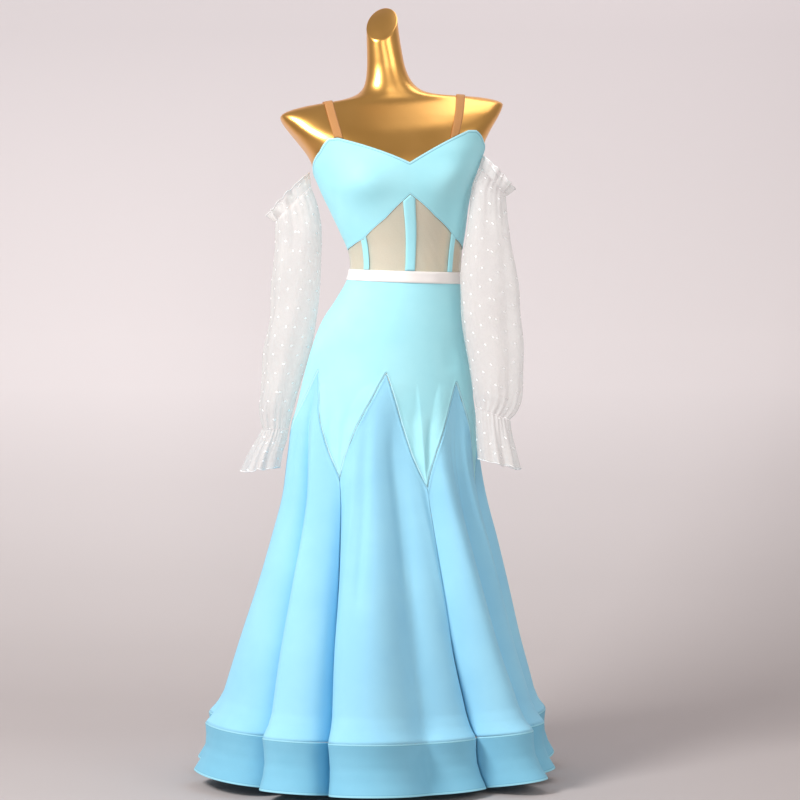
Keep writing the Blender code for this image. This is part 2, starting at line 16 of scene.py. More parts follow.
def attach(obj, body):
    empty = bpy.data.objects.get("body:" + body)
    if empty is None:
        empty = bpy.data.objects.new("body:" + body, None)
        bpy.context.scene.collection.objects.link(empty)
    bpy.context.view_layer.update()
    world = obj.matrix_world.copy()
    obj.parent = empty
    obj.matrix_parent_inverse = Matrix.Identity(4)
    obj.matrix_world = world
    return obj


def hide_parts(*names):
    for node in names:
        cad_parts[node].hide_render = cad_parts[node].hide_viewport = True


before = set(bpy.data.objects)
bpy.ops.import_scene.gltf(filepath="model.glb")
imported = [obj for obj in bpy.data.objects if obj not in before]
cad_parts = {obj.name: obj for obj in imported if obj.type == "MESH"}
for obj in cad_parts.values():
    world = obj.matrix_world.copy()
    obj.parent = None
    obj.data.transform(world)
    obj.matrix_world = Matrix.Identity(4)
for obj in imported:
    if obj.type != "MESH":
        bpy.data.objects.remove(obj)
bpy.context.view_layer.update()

# %% [markdown]
# ## Camera, light and floor
# The photograph was taken from the height of the hips with a long lens, so the camera looks level
# and the skirt's hem curves up a little at its sides. A shooting room has a seamless paper sweep: one
# sheet that runs from the floor up behind the dress, so no line shows where they meet.

# %% The camera
camera = bpy.data.objects.new("camera", bpy.data.cameras.new("camera"))
camera.location = (0.0304, -3.6, 0.715)
camera.rotation_euler = (math.radians(90), 0, 0)
camera.data.sensor_width = 36.0
camera.data.lens = 85.3
bpy.context.scene.collection.objects.link(camera)
bpy.context.scene.camera = camera
bpy.context.scene.view_settings.view_transform = "Standard"
print("camera", camera.location[:], "lens", camera.data.lens)


# %% [markdown]
# Every finish below is a node tree. These helpers keep the cells short: they start a material with its
# main shader, add a node or a group with its values, join two sockets, and make an object of a bmesh.

# %% Helpers for node trees
def new_finish(name, colour, roughness, metallic=0.0):
    """A material with its Principled shader set, and its node tree."""
    made = bpy.data.materials.new(name)
    made.use_nodes = True
    shader = made.node_tree.nodes["Principled BSDF"]
    shader.inputs["Base Color"].default_value = (*colour, 1.0)
    shader.inputs["Roughness"].default_value = roughness
    shader.inputs["Metallic"].default_value = metallic
    return made, made.node_tree, shader


def add_node(tree, kind, **values):
    """A node of one kind, with its settings and its input values."""
    node = tree.nodes.new(kind)
    for key, value in values.items():
        if hasattr(node, key):
            setattr(node, key, value)
        else:
            node.inputs[key.replace("_", " ")].default_value = value
    return node


def join(tree, source, target):
    """Link an output socket to an input socket."""
    tree.links.new(source, target)


def new_group(name, inputs, outputs):
    """An empty shader node group with named sockets."""
    group = bpy.data.node_groups.new(name, "ShaderNodeTree")
    for label, kind, default in inputs:
        socket = group.interface.new_socket(name=label, in_out="INPUT", socket_type="NodeSocket" + kind)
        if default is not None:
            socket.default_value = default
    for label, kind in outputs:
        group.interface.new_socket(name=label, in_out="OUTPUT", socket_type="NodeSocket" + kind)
    return group, group.nodes.new("NodeGroupInput"), group.nodes.new("NodeGroupOutput")


def place_group(tree, group, **values):
    """One use of a node group in a material."""
    node = tree.nodes.new("ShaderNodeGroup")
    node.node_tree = group
    for key, value in values.items():
        node.inputs[key.replace("_", " ")].default_value = value
    return node


def math_node(tree, operation, first, second=None, clamp=False):
    """A Math node fed by sockets or numbers; returns its output socket."""
    node = tree.nodes.new("ShaderNodeMath")
    node.operation = operation
    node.use_clamp = clamp
    for index, value in enumerate((first, second)):
        if value is None:
            continue
        if isinstance(value, (int, float)):
            node.inputs[index].default_value = value
        else:
            tree.links.new(value, node.inputs[index])
    return node.outputs[0]


def mix_colours(tree, share, first, second):
    """A colour that goes from first to second by a share; returns its output socket."""
    node = tree.nodes.new("ShaderNodeMix")
    node.data_type = "RGBA"
    for socket, value in ((node.inputs[0], share), (node.inputs[6], first), (node.inputs[7], second)):
        if isinstance(value, bpy.types.NodeSocket):
            tree.links.new(value, socket)
        elif isinstance(value, (int, float)):
            socket.default_value = value
        else:
            socket.default_value = (*value, 1.0)
    return node.outputs[2]


def add_relief(tree, shader, height, strength, distance):
    """A bump from a height: it only tilts the light on the surface."""
    relief = add_node(tree, "ShaderNodeBump", Strength=strength, Distance=distance)
    join(tree, height, relief.inputs["Height"])
    join(tree, relief.outputs["Normal"], shader.inputs["Normal"])


def add_piece(name, bm, finish):
    """An object made from a bmesh, with its finish, at the origin."""
    mesh = bpy.data.meshes.new(name)
    bm.to_mesh(mesh)
    bm.free()
    mesh.materials.append(finish)
    made = bpy.data.objects.new(name, mesh)
    bpy.context.scene.collection.objects.link(made)
    return made


print("helpers ready")

# %% The paper sweep
SWEEP = [(-6.0, 0.0), (0.5, 0.0), (0.8, 0.02), (1.05, 0.10), (1.22, 0.26), (1.32, 0.5), (1.36, 0.9),
         (1.38, 4.0)]
bm = bmesh.new()
profile = [bm.verts.new((-4.0, y, z)) for y, z in SWEEP]
edges = [bm.edges.new(pair) for pair in zip(profile, profile[1:])]
moved = bmesh.ops.extrude_edge_only(bm, edges=edges)["geom"]
far_verts = [part for part in moved if isinstance(part, bmesh.types.BMVert)]
bmesh.ops.translate(bm, verts=far_verts, vec=(8, 0, 0))
bmesh.ops.recalc_face_normals(bm, faces=bm.faces)
paper, tree, shader = new_finish("pale paper", (0.78, 0.715, 0.72), 0.9)
sweep = add_piece("paper_sweep", bm, paper)
sweep.data.shade_smooth()
paper_grain = add_node(tree, "ShaderNodeTexNoise", Scale=900.0, Detail=3.0)
paper_place = add_node(tree, "ShaderNodeTexCoord")
paper_axes = tree.nodes.new("ShaderNodeSeparateXYZ")
join(tree, paper_place.outputs["Object"], paper_axes.inputs[0])
# Painted shade: the paper's colour is darker towards the floor and towards the top, lightest near the
# height the lamps aim at.
rise = math_node(tree, "DIVIDE", paper_axes.outputs[2], 0.75, clamp=True)
paper_shade_low = mix_colours(tree, rise, (0.51, 0.465, 0.46), (0.80, 0.745, 0.755))
upper_height = math_node(tree, "DIVIDE", paper_axes.outputs[2], 0.8)
paper_shade_top = math_node(tree, "SUBTRACT", upper_height, 1.1, clamp=True)
join(tree, mix_colours(tree, paper_shade_top, paper_shade_low, (0.63, 0.585, 0.60)), shader.inputs["Base Color"])
join(tree, paper_place.outputs["Object"], paper_grain.inputs["Vector"])
add_relief(tree, shader, paper_grain.outputs["Fac"], 0.05, 0.0004)
print("paper sweep", len(sweep.data.polygons), "faces")

# %% The lights: a soft box from the upper left, weak ones from the right and the front
LIGHTS = (
    ("soft_box_left", (-1.9, -1.7, 2.35), 0.9, 86.0, (1.0, 0.985, 0.97)),
    ("soft_box_right", (2.5, -2.4, 1.9), 1.4, 23.0, (1.0, 0.95, 0.90)),
    ("soft_box_front", (0.5, -3.8, 1.6), 1.4, 16.0, (1.0, 0.98, 0.96)),
    ("paper_light", (0.9, 0.3, 2.9), 1.2, 13.0, (1.0, 0.95, 0.95)),
)
for name, place, size, power, colour in LIGHTS:
    data = bpy.data.lights.new(name, "AREA")
    data.shape = "SQUARE"
    data.size = size
    data.energy = power
    data.color = colour
    lamp = bpy.data.objects.new(name, data)
    lamp.location = place
    aim = Vector((0.0, 0.0, 0.75)) - Vector(place)
    if name == "paper_light":
        aim = Vector((0.8, 1.4, 1.4)) - Vector(place)
    lamp.rotation_euler = aim.to_track_quat("-Z", "Y").to_euler()
    bpy.context.scene.collection.objects.link(lamp)
world = bpy.data.worlds.new("room")
world.use_nodes = True
world.node_tree.nodes["Background"].inputs["Color"].default_value = (1.0, 0.96, 0.95, 1.0)
world.node_tree.nodes["Background"].inputs["Strength"].default_value = 0.33
bpy.context.scene.world = world
print("lights:", ", ".join(row[0] for row in LIGHTS))

# %% [markdown]
# ## The shape of the figure
# The dress has the shape of the form under it, so one table describes both: at each height a rounded
# outline with its centre, widths and turn. A smooth curve runs through the rows. Any point of cloth on
# the body is then found from two numbers, an angle round the body and a height.

# %% The figure's outline
MM = 0.001
LEFT_SIDE = -87.0
RIGHT_SIDE = 84.0
WAIST = 0.951
FIGURE_MM = (
    (20, -6, 4, 285, 258, 272, 0, 0, 0, 2.0),
    (118, -6.5, 4, 282.5, 257, 268, 0, 0, 0, 2.0),
    (158, -5, 4, 273.5, 246.5, 257, 0, 0, 0, 2.0),
    (260, -5, 4, 246.5, 222, 232, 0, 0, 0, 2.0),
    (369, -1.5, 5, 219.5, 192, 204, 0, 0, 0, 2.0),
    (450, -0.5, 6, 201, 164, 178, 0, 0, 0, 2.0),
    (530, -1, 8, 183.5, 140, 155, 0, 0, 0, 2.0),
    (600, -3, 9, 176.5, 124, 141, 0, 0, 0, 2.0),
    (673, -1, 10, 172.5, 114, 133, 0, 0, 0, 2.0),
    (711, 3, 10, 167, 112, 130, 0, 0, 0, 2.0),
    (766, 8, 10, 159, 109, 128, 0, -0.01, 0.01, 2.0),
    (823, 12, 10, 146, 105, 120, 1, -0.02, 0.03, 2.0),
    (865, 19, 10, 135, 100, 109, 2, -0.03, 0.05, 2.0),
    (905, 30, 10, 120, 94, 97, 4, -0.035, 0.07, 2.0),
    (951, 40, 10, 107, 88, 87, 6, -0.035, 0.08, 2.0),
    (1000, 40, 8, 110, 90, 84, 8, 0.0, 0.06, 2.0),
    (1036, 36, 5, 120, 96, 87, 10, 0.03, 0.03, 2.0),
    (1078, 30, 2, 132, 105, 93, 11, 0.06, 0.01, 2.05),
    (1116, 26, 0, 145, 110, 98, 12, 0.08, 0, 2.1),
    (1163, 26, 0, 163, 106, 101, 12, 0.095, 0, 2.3),
    (1190, 24, 2, 172, 97, 98, 12, 0.09, 0, 2.6),
    (1215, 21, 5, 187, 88, 90, 11, 0.085, 0, 2.9),
    (1240, 18, 8, 205, 73, 76, 10, 0.08, 0, 3.0),
    (1258, 16, 10, 216, 61, 64, 10, 0.079, 0, 2.9),
    (1268, 16, 11, 217, 54, 57, 10, 0.079, 0, 2.7),
    (1276, 16, 12, 200, 50, 53, 10, 0.079, 0, 2.5),
    (1283, 16, 12, 165, 48, 51, 10, 0.079, 0, 2.3),
    (1288, 15, 12, 115, 48, 50, 10, 0.079, 0, 2.2),
    (1295, 13, 12, 80, 48, 49, 9, 0.07, 0, 2.1),
    (1305, 11, 11, 60, 47, 47, 8, 0.06, 0, 2.0),
    (1320, 8, 9, 48.5, 44, 44, 6, 0.05, 0, 2.0),
    (1345, 4, 6, 41, 40, 40, 5, 0.04, 0.08, 2.0),
    (1372, 1, 2, 37.5, 37, 37, 4, 0.10, 0.35, 2.0),
    (1402, -2, -1, 35, 35, 35, 2, 0.20, 0.80, 2.0),
    (1428, -4, -3, 33.5, 34, 34, 0, 0.27, 1.20, 2.0),
)


def smooth_columns(rows, height):
    """The columns of a table at a height, on a smooth curve through its rows."""
    k = 0
    while k < len(rows) - 2 and height > rows[k + 1][0]:
        k += 1
    low, high = rows[k], rows[k + 1]
    before, after = rows[max(k - 1, 0)], rows[min(k + 2, len(rows) - 1)]
    span = high[0] - low[0]
    t = min(max((height - low[0]) / span, 0.0), 1.0)
    columns = []
    for c in range(1, len(low)):
        slope_low = (high[c] - before[c]) / (high[0] - before[0]) * span
        slope_high = (after[c] - low[c]) / (after[0] - low[0]) * span
        columns.append((2 * t ** 3 - 3 * t ** 2 + 1) * low[c] + (t ** 3 - 2 * t ** 2 + t) * slope_low
                       + (3 * t ** 2 - 2 * t ** 3) * high[c] + (t ** 3 - t ** 2) * slope_high)
    return columns


def straight_column(rows, position):
    """The second column of a table at a position, on straight lines through its rows."""
    for low, high in zip(rows, rows[1:]):
        if position <= high[0]:
            share = (position - low[0]) / (high[0] - low[0])
            return low[1] + (high[1] - low[1]) * min(max(share, 0.0), 1.0)
    return rows[-1][1]


def bust(angle, height):
    """How far the bust stands out at an angle and a height."""
    rise = math.exp(-((height - 1.120) / 0.036) ** 2)
    side = math.exp(-((abs(angle) - 33.0) / 17.0) ** 2)
    return 0.015 * rise * side


def figure_point(angle, height, out=0.0):
    """A point of the figure's outline, moved out of it by a distance."""
    angle = (angle + 180.0) % 360.0 - 180.0
    cx, cy, width, front, back, turn, rise_x, rise_y, square = smooth_columns(FIGURE_MM, height / MM)
    sine = math.sin(math.radians(angle))
    cosine = math.cos(math.radians(angle))
    depth = front if cosine > 0 else back
    stretch = (abs(sine) ** square + abs(cosine) ** square) ** (-1.0 / square)
    x = sine * stretch
    y = -cosine * stretch
    normal = Vector((math.copysign(abs(x) ** (square - 1.0), x) / width,
                     math.copysign(abs(y) ** (square - 1.0), y) / depth)).normalized()
    out += bust(angle, height)
    x = x * width * MM + normal.x * out
    y = y * depth * MM + normal.y * out
    c = math.cos(math.radians(turn))
    s = math.sin(math.radians(turn))
    x, y = x * c - y * s, x * s + y * c
    return Vector((cx * MM + x, cy * MM + y, height + rise_x * x + rise_y * y))


print("waist, half width", round((figure_point(90, WAIST) - figure_point(-90, WAIST)).length / 2, 3))

# %% [markdown]
# ## The fall of the skirt
# A godet is a wedge of cloth let into the yoke. Its extra width hangs in folds: a ridge where the
# cloth stands out, a trough where it falls back. One row of the table is one ridge and the trough on
# its right, given at the yoke and at the hem, so the folds drift and widen on their way down. They are
# uneven on purpose, as hanging cloth is, and the back has folds like those of the front. A ridge swings
# its cloth outwards, which lifts its hem a little; a trough hangs straighter, so its hem is lower.

# %% Godets and folds
GODETS_MM = (
    (-56, 768, -27.5, 571),
    (-1, 765, 26, 553),
    (53, 748, RIGHT_SIDE, 556),
    (115, 744, 147, 560),
    (179, 755, 210.5, 565),
    (242, 766, 360 + LEFT_SIDE, 568),
)
STEP_POWER = 5
FOLDS = (
    (-72, -76, 40, -56, -43, -44, 0.3, 0.65),
    (-46, -34, 46, -27.5, -17, -44, 0.35, 0.6),
    (-8, -6, 53, 12, 20, -31, 0.85, 0.0),
    (19, 31, -25, 26, 46, -52, 0.0, 0.5),
    (38, 59, 34, 53, 71, -24, 0.4, 0.25),
    (66, 83, 14, 84, 94, -38, 0.2, 0.3),
    (100, 116, 48, 115, 130, -30, 0.3, 0.2),
    (131, 143, 36, 147, 157, -42, 0.2, 0.2),
    (163, 171, 38, 179, 186, -38, 0.2, 0.3),
    (195, 200, 40, 210.5, 214, -44, 0.3, 0.2),
    (227, 230, 40, 242, 245, -38, 0.2, 0.3),
    (257, 259, 42, 273, 272, -44, 0.2, 0.3),
)
HEM = 0.030
BAND_TOP = 0.118
INNER_FOLD_TOP = 0.745
SEAM_FOLD_TOP = 0.600
DRIFT_TOP = 0.620
FOLD_GROWTH = 0.8
FOLD_CROWD = 0.45
TROUGH_DIP = 0.019
HIGH_REACH = 53
LOW_REACH = -52
KICK_MM = ((20, 38), (30, 33), (52, 20), (74, 13), (95, 13), (118, 17), (128, 9), (138, 4), (158, 0),
           (200, 0))
SEAM_ANGLES = [row[2] for row in GODETS_MM]
FOLD_NODES = []
for row in FOLDS:
    FOLD_NODES.append((row[0], row[1], row[2], True, row[6], row[7]))
    FOLD_NODES.append((row[3], row[4], row[5], False, 0, 0))
FOLD_NODES.append((FOLDS[0][0] + 360, FOLDS[0][1] + 360) + FOLD_NODES[0][2:])


def skirt_point(angle, height):
    """A point of the skirt: the figure's outline thrown into folds that deepen towards the hem."""
    while angle < FOLD_NODES[0][0]:
        angle += 360.0
    while angle >= FOLD_NODES[-1][0]:
        angle -= 360.0
    k = 0
    while angle > FOLD_NODES[k + 1][0]:
        k += 1
    here, there = FOLD_NODES[k], FOLD_NODES[k + 1]
    share = (angle - here[0]) / (there[0] - here[0])
    ridge, trough, side = (here, there, 1) if here[3] else (there, here, -1)
    if side < 0:
        share = 1.0 - share
    swing = share + FOLD_CROWD * math.sin(math.pi * share) / math.pi
    hem_angle = ridge[1] + (trough[1] - ridge[1]) * swing
    step = ridge[5] if side > 0 else ridge[4]
    wave = 1.0 - (1.0 - step) * (1.0 - math.cos(math.pi * share)) / 2.0 - step * share ** STEP_POWER
    start = INNER_FOLD_TOP
    if any(abs(trough[0] - seam) < 0.01 or abs(trough[0] - 360 - seam) < 0.01 for seam in SEAM_ANGLES):
        start = SEAM_FOLD_TOP + (INNER_FOLD_TOP - SEAM_FOLD_TOP) * wave
    growth = max((start - height) / (start - HEM), 0.0) ** FOLD_GROWTH
    drift = min(max((DRIFT_TOP - height) / (DRIFT_TOP - HEM), 0.0), 1.0)
    turned = angle + (hem_angle - angle) * drift
    reach = trough[2] + (ridge[2] - trough[2]) * wave
    out = reach * MM * growth + straight_column(KICK_MM, height / MM) * MM
    point = figure_point(turned, height, out)
    point.z -= TROUGH_DIP * (HIGH_REACH - reach) / (HIGH_REACH - LOW_REACH) * growth ** 2
    return point


def seam_height(angle):
    """Height of the zigzag seam between yoke and godets at an angle."""
    while angle < LEFT_SIDE:
        angle += 360.0
    while angle > 360.0 + LEFT_SIDE:
        angle -= 360.0
    left = (LEFT_SIDE, GODETS_MM[-1][3])
    for peak_angle, peak, point_angle, point in GODETS_MM:
        if angle <= point_angle:
            edge = left if angle < peak_angle else (point_angle, point)
            share = abs(angle - peak_angle) / abs(edge[0] - peak_angle)
            return (peak - (peak - edge[1]) * share ** 1.1) * MM
        left = (point_angle, point)
    return left[1] * MM


print("hem, width", round(skirt_point(90, HEM).x - skirt_point(-90, HEM).x, 3), "m")

# %% [markdown]
# ## How a panel of cloth is made
# Woven cloth is a sheet, so every panel starts as a flat grid from `create_grid`. Each point of the
# grid is carried to its place on the figure. Then the panel gets its relief: the small height of
# folded edges, puckered seams and creases, laid along the surface's own normal. The first UV map holds
# the cloth's flat measure in metres, so a weave keeps its size on every panel. The second holds the
# distance to the upper and the lower edge, which finishes use for folds and stitch lines.

# %% The panel maker
PANELS = {}


def spread(start, end, steps):
    """Evenly spaced values from start to end."""
    return [start + (end - start) * k / steps for k in range(steps + 1)]


def soft_step(value):
    """0 below 0, 1 above 1, and a smooth rise between."""
    value = np.clip(value, 0.0, 1.0)
    return value * value * (3 - 2 * value)


def lengths_along(points, axis):
    """Distances walked along one axis of a grid of points."""
    steps = np.linalg.norm(np.diff(points, axis=axis), axis=2)
    walked = np.cumsum(steps, axis=axis)
    return np.insert(walked, 0, 0.0, axis=axis)


def grid_normals(points, closed):
    """The outward normal at each point of a grid."""
    if closed:
        wrapped = np.concatenate([points[-2:-1], points, points[1:2]])
        across = (wrapped[2:] - wrapped[:-2])
    else:
        across = np.gradient(points, axis=0)
    upward = np.gradient(points, axis=1)
    normals = np.cross(across, upward)
    return normals / np.maximum(np.linalg.norm(normals, axis=2, keepdims=True), 1e-12)


def edge_sines(points, edge, inner):
    """How squarely the columns meet an edge row, to turn distances along them into distances from it."""
    along = np.gradient(points[:, edge], axis=0)
    column = points[:, edge] - points[:, inner]
    crossed = np.linalg.norm(np.cross(along, column), axis=1)
    return crossed / (np.linalg.norm(along, axis=1) * np.linalg.norm(column, axis=1) + 1e-12)


def cloth_panel(name, angles, shares, heights_at, surface, finish, relief=None, wall=0.0, closed=False):
    """A panel of cloth on a surface, with its relief, its two UV maps and its finish."""
    columns, rows = len(angles) - 1, len(shares) - 1
    heights = np.array([heights_at(angle, shares) for angle in angles])
    points = np.array([[surface(angle, height)[:] for height in column]
                       for angle, column in zip(angles, heights)])
    from_foot = lengths_along(points, 1)
    measure = {
        "angle": np.array(angles)[:, None] * np.ones_like(heights),
        "height": heights,
        "top": (from_foot[:, -1:] - from_foot) * edge_sines(points, -1, -2)[:, None],
        "foot": from_foot * edge_sines(points, 0, 1)[:, None],
        "across": lengths_along(points, 0),
        "radius": np.linalg.norm(points[:, :, :2], axis=2),
    }
    if relief:
        points = points + grid_normals(points, closed) * relief(measure)[:, :, None]
    across = lengths_along(points, 0)
    across = across - across[-1:] / 2
    up = lengths_along(points, 1)
    bm = bmesh.new()
    flat_map = bm.loops.layers.uv.new("cloth")
    edge_map = bm.loops.layers.uv.new("edge")
    bmesh.ops.create_grid(bm, x_segments=columns, y_segments=rows, size=0.5)
    cell = {}
    for vert in bm.verts:
        cell[vert] = (round((vert.co.x + 0.5) * columns), round((vert.co.y + 0.5) * rows))
        vert.co = points[cell[vert]]
    for face in bm.faces:
        face.smooth = True
        for loop in face.loops:
            spot = cell[loop.vert]
            loop[flat_map].uv = (across[spot], up[spot])
            loop[edge_map].uv = (measure["top"][spot], measure["foot"][spot])
    if closed:
        bmesh.ops.remove_doubles(bm, verts=bm.verts, dist=0.00001)
    area = sum(face.calc_area() for face in bm.faces)
    panel = add_piece(name, bm, finish)
    if wall:
        thickness = panel.modifiers.new("wall", "SOLIDIFY")
        thickness.thickness = wall
        thickness.offset = -1.0
    PANELS[name] = (float((across[-1] - across[0]).max()), float(up.max()), area)
    print("%-16s width %.3f  length %.3f  area %.4f" % ((name,) + PANELS[name]))
    return panel


def stand_for(piece, node):
    """The fine piece rides on the root and stands for its solid, which is hidden."""
    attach(piece, "root")
    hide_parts(node)
    return piece


# %% [markdown]
# ## Shared effects of cloth
# Three effects come back on most pieces. A weave is threads that pass over and under each other; seen
# from far it only breaks the light a little. Cloth is never one even colour, so a soft, slow mottle
# varies it. An edge that is folded under and stitched is thicker and stands a little proud: its colour
# is painted lighter along the fold as a painted highlight, with a darker painted shade along the line
# where the stitches pull it down. Each effect is one node group with its own values.

# %% Node group: weave
WEAVE, entry, exit_ = new_group(
    "thread weave", [("Vector", "Vector", None), ("Threads per metre", "Float", 2200.0)],
    [("Height", "Float"), ("Shade", "Float")])
split = WEAVE.nodes.new("ShaderNodeSeparateXYZ")
join(WEAVE, entry.outputs["Vector"], split.inputs[0])
warp = math_node(WEAVE, "SINE", math_node(WEAVE, "MULTIPLY", math_node(
    WEAVE, "MULTIPLY", split.outputs[0], entry.outputs["Threads per metre"]), math.pi))
weft = math_node(WEAVE, "SINE", math_node(WEAVE, "MULTIPLY", math_node(
    WEAVE, "MULTIPLY", split.outputs[1], entry.outputs["Threads per metre"]), math.pi))
crossing = math_node(WEAVE, "MULTIPLY", warp, weft)
join(WEAVE, crossing, exit_.inputs["Height"])
slub = add_node(WEAVE, "ShaderNodeTexNoise", Scale=420.0, Detail=2.0)
join(WEAVE, entry.outputs["Vector"], slub.inputs["Vector"])
join(WEAVE, slub.outputs["Fac"], exit_.inputs["Shade"])
print("group", WEAVE.name)

# %% Node group: mottle
MOTTLE, entry, exit_ = new_group(
    "soft mottle",
    [("Vector", "Vector", None), ("Base", "Color", (1, 1, 1, 1)), ("Lighter", "Color", (1, 1, 1, 1)),
     ("Size", "Float", 14.0)],
    [("Color", "Color"), ("Amount", "Float")])
cloud = add_node(MOTTLE, "ShaderNodeTexNoise", Detail=3.0, Roughness=0.55)
join(MOTTLE, entry.outputs["Vector"], cloud.inputs["Vector"])
join(MOTTLE, entry.outputs["Size"], cloud.inputs["Scale"])
cloud_rise = math_node(MOTTLE, "SUBTRACT", cloud.outputs["Fac"], 0.35)
amount = math_node(MOTTLE, "MULTIPLY", cloud_rise, 2.6, clamp=True)
mottle_colour = mix_colours(MOTTLE, amount, entry.outputs["Base"], entry.outputs["Lighter"])
join(MOTTLE, mottle_colour, exit_.inputs["Color"])
join(MOTTLE, amount, exit_.inputs["Amount"])
print("group", MOTTLE.name)

# %% Node group: stitched edge
STITCHED, entry, exit_ = new_group(
    "stitched edge", [("Distance", "Float", 0.0), ("Along", "Float", 0.0), ("Color", "Color", (1, 1, 1, 1)),
                      ("Fold color", "Color", (1, 1, 1, 1)), ("Stitch color", "Color", (0, 0, 0, 1)),
                      ("Fold width", "Float", 0.004)], [("Color", "Color"), ("Height", "Float")])
# Painted highlight: the band along the fold gets a lighter colour. Painted shade: the stitch line, where
# the stitches pull the cloth down, gets a darker colour. The same masks also raise and lower the bump.
within = math_node(STITCHED, "SUBTRACT", 1.0, math_node(
    STITCHED, "DIVIDE", entry.outputs["Distance"], entry.outputs["Fold width"]))
fold_mask = math_node(STITCHED, "MULTIPLY", within, 8.0, clamp=True)
off_line = math_node(STITCHED, "ABSOLUTE", math_node(
    STITCHED, "SUBTRACT", entry.outputs["Distance"], entry.outputs["Fold width"]))
line_fade = math_node(STITCHED, "DIVIDE", off_line, 0.0009)
line_mask = math_node(STITCHED, "SUBTRACT", 1.0, line_fade, clamp=True)
beat = math_node(STITCHED, "SINE", math_node(STITCHED, "MULTIPLY", entry.outputs["Along"], 2200.0))
broken = math_node(STITCHED, "MULTIPLY", line_mask, math_node(
    STITCHED, "ADD", 0.72, math_node(STITCHED, "MULTIPLY", beat, 0.28)))
folded = mix_colours(STITCHED, fold_mask, entry.outputs["Color"], entry.outputs["Fold color"])
join(STITCHED, mix_colours(STITCHED, broken, folded, entry.outputs["Stitch color"]), exit_.inputs["Color"])
join(STITCHED, math_node(STITCHED, "SUBTRACT", fold_mask, broken), exit_.inputs["Height"])
print("group", STITCHED.name)

# %% Node group: woven dots
DOTS, entry, exit_ = new_group(
    "woven dots", [("Vector", "Vector", None), ("Spacing", "Float", 0.03), ("Radius", "Float", 0.0018)],
    [("Mask", "Float")])
grid_scale = DOTS.nodes.new("ShaderNodeVectorMath")
grid_scale.operation = "SCALE"
join(DOTS, entry.outputs["Vector"], grid_scale.inputs[0])
join(DOTS, math_node(DOTS, "DIVIDE", 1.0, entry.outputs["Spacing"]), grid_scale.inputs["Scale"])
nearest = []
for shift in ((0.0, 0.0, 0.0), (0.5, 0.5, 0.0)):
    moved_grid = add_node(DOTS, "ShaderNodeVectorMath", operation="ADD")
    moved_grid.inputs[1].default_value = shift
    wrapped = add_node(DOTS, "ShaderNodeVectorMath", operation="FRACTION")
    centred = add_node(DOTS, "ShaderNodeVectorMath", operation="SUBTRACT")
    centred.inputs[1].default_value = (0.5, 0.5, 0.0)
    length = add_node(DOTS, "ShaderNodeVectorMath", operation="LENGTH")
    join(DOTS, grid_scale.outputs[0], moved_grid.inputs[0])
    join(DOTS, moved_grid.outputs[0], wrapped.inputs[0])
    join(DOTS, wrapped.outputs[0], centred.inputs[0])
    join(DOTS, centred.outputs[0], length.inputs[0])
    nearest.append(length.outputs["Value"])
close = math_node(DOTS, "MULTIPLY", math_node(DOTS, "MINIMUM", *nearest), entry.outputs["Spacing"])
join(DOTS, math_node(DOTS, "MULTIPLY", math_node(DOTS, "SUBTRACT", entry.outputs["Radius"], close), 2500.0,
                     clamp=True), exit_.inputs["Mask"])
print("group", DOTS.name)


# %% [markdown]
# ## The finishes
# Crepe has a fine pebbled weave and a dull, soft glow at its edges, so it gets a rough shader with
# some sheen. Georgette is thinner and cooler in colour. The hem band is the same cloth over stiff
# horsehair braid, so it is darker. Each one is built by the same helper.

# %% Opaque cloths: crepe, georgette, hem band
def add_weave(tree, threads):
    """The thread weave on the cloth's flat map; returns the map and the weave."""
    flat = add_node(tree, "ShaderNodeUVMap", uv_map="cloth")
    weave = place_group(tree, WEAVE, Threads_per_metre=threads)
    join(tree, flat.outputs[0], weave.inputs["Vector"])
    return flat, weave


def add_mottle(tree, base, lighter, size):
    """The soft mottle of two colours, on the object's own coordinates."""
    place = add_node(tree, "ShaderNodeTexCoord")
    mottled = place_group(tree, MOTTLE, Base=(*base, 1), Lighter=(*lighter, 1), Size=size)
    join(tree, place.outputs["Object"], mottled.inputs["Vector"])
    return mottled


def cloth_finish(name, base, lighter, threads, bump, sheen, roughness=0.8, mottle=9.0, fold=None):
    """A dull woven cloth, with a stitched fold along its upper edge if it has one; the fold's colour is a
    painted highlight and its stitch line a painted shade.
    """
    made, tree, shader = new_finish(name, base, roughness)
    shader.inputs["Sheen Weight"].default_value = sheen
    shader.inputs["Sheen Roughness"].default_value = 0.45
    shader.inputs["Specular IOR Level"].default_value = 0.25
    flat, weave = add_weave(tree, threads)
    colour = add_mottle(tree, base, lighter, mottle).outputs["Color"]
    height = math_node(tree, "ADD", math_node(tree, "MULTIPLY", weave.outputs["Height"], 0.5),
                       weave.outputs["Shade"])
    if fold:
        edge = add_node(tree, "ShaderNodeUVMap", uv_map="edge")
        parts = tree.nodes.new("ShaderNodeSeparateXYZ")
        join(tree, edge.outputs[0], parts.inputs[0])
        along = tree.nodes.new("ShaderNodeSeparateXYZ")
        join(tree, flat.outputs[0], along.inputs[0])
        for axis, width, fold_highlight_colour, stitch_shade_colour in fold:
            stitched = place_group(tree, STITCHED, Fold_color=(*fold_highlight_colour, 1),
                                   Stitch_color=(*stitch_shade_colour, 1), Fold_width=width)
            join(tree, parts.outputs[axis], stitched.inputs["Distance"])
            join(tree, along.outputs[0], stitched.inputs["Along"])
            join(tree, colour, stitched.inputs["Color"])
            colour = stitched.outputs["Color"]
            fold_height = math_node(tree, "MULTIPLY", stitched.outputs["Height"], 2.0)
            height = math_node(tree, "ADD", height, fold_height)
    join(tree, colour, shader.inputs["Base Color"])
    unevenness = math_node(tree, "MULTIPLY", weave.outputs["Shade"], 0.12)
    join(tree, math_node(tree, "ADD", roughness - 0.06, unevenness), shader.inputs["Roughness"])
    add_relief(tree, shader, height, bump, 0.0003)
    return made


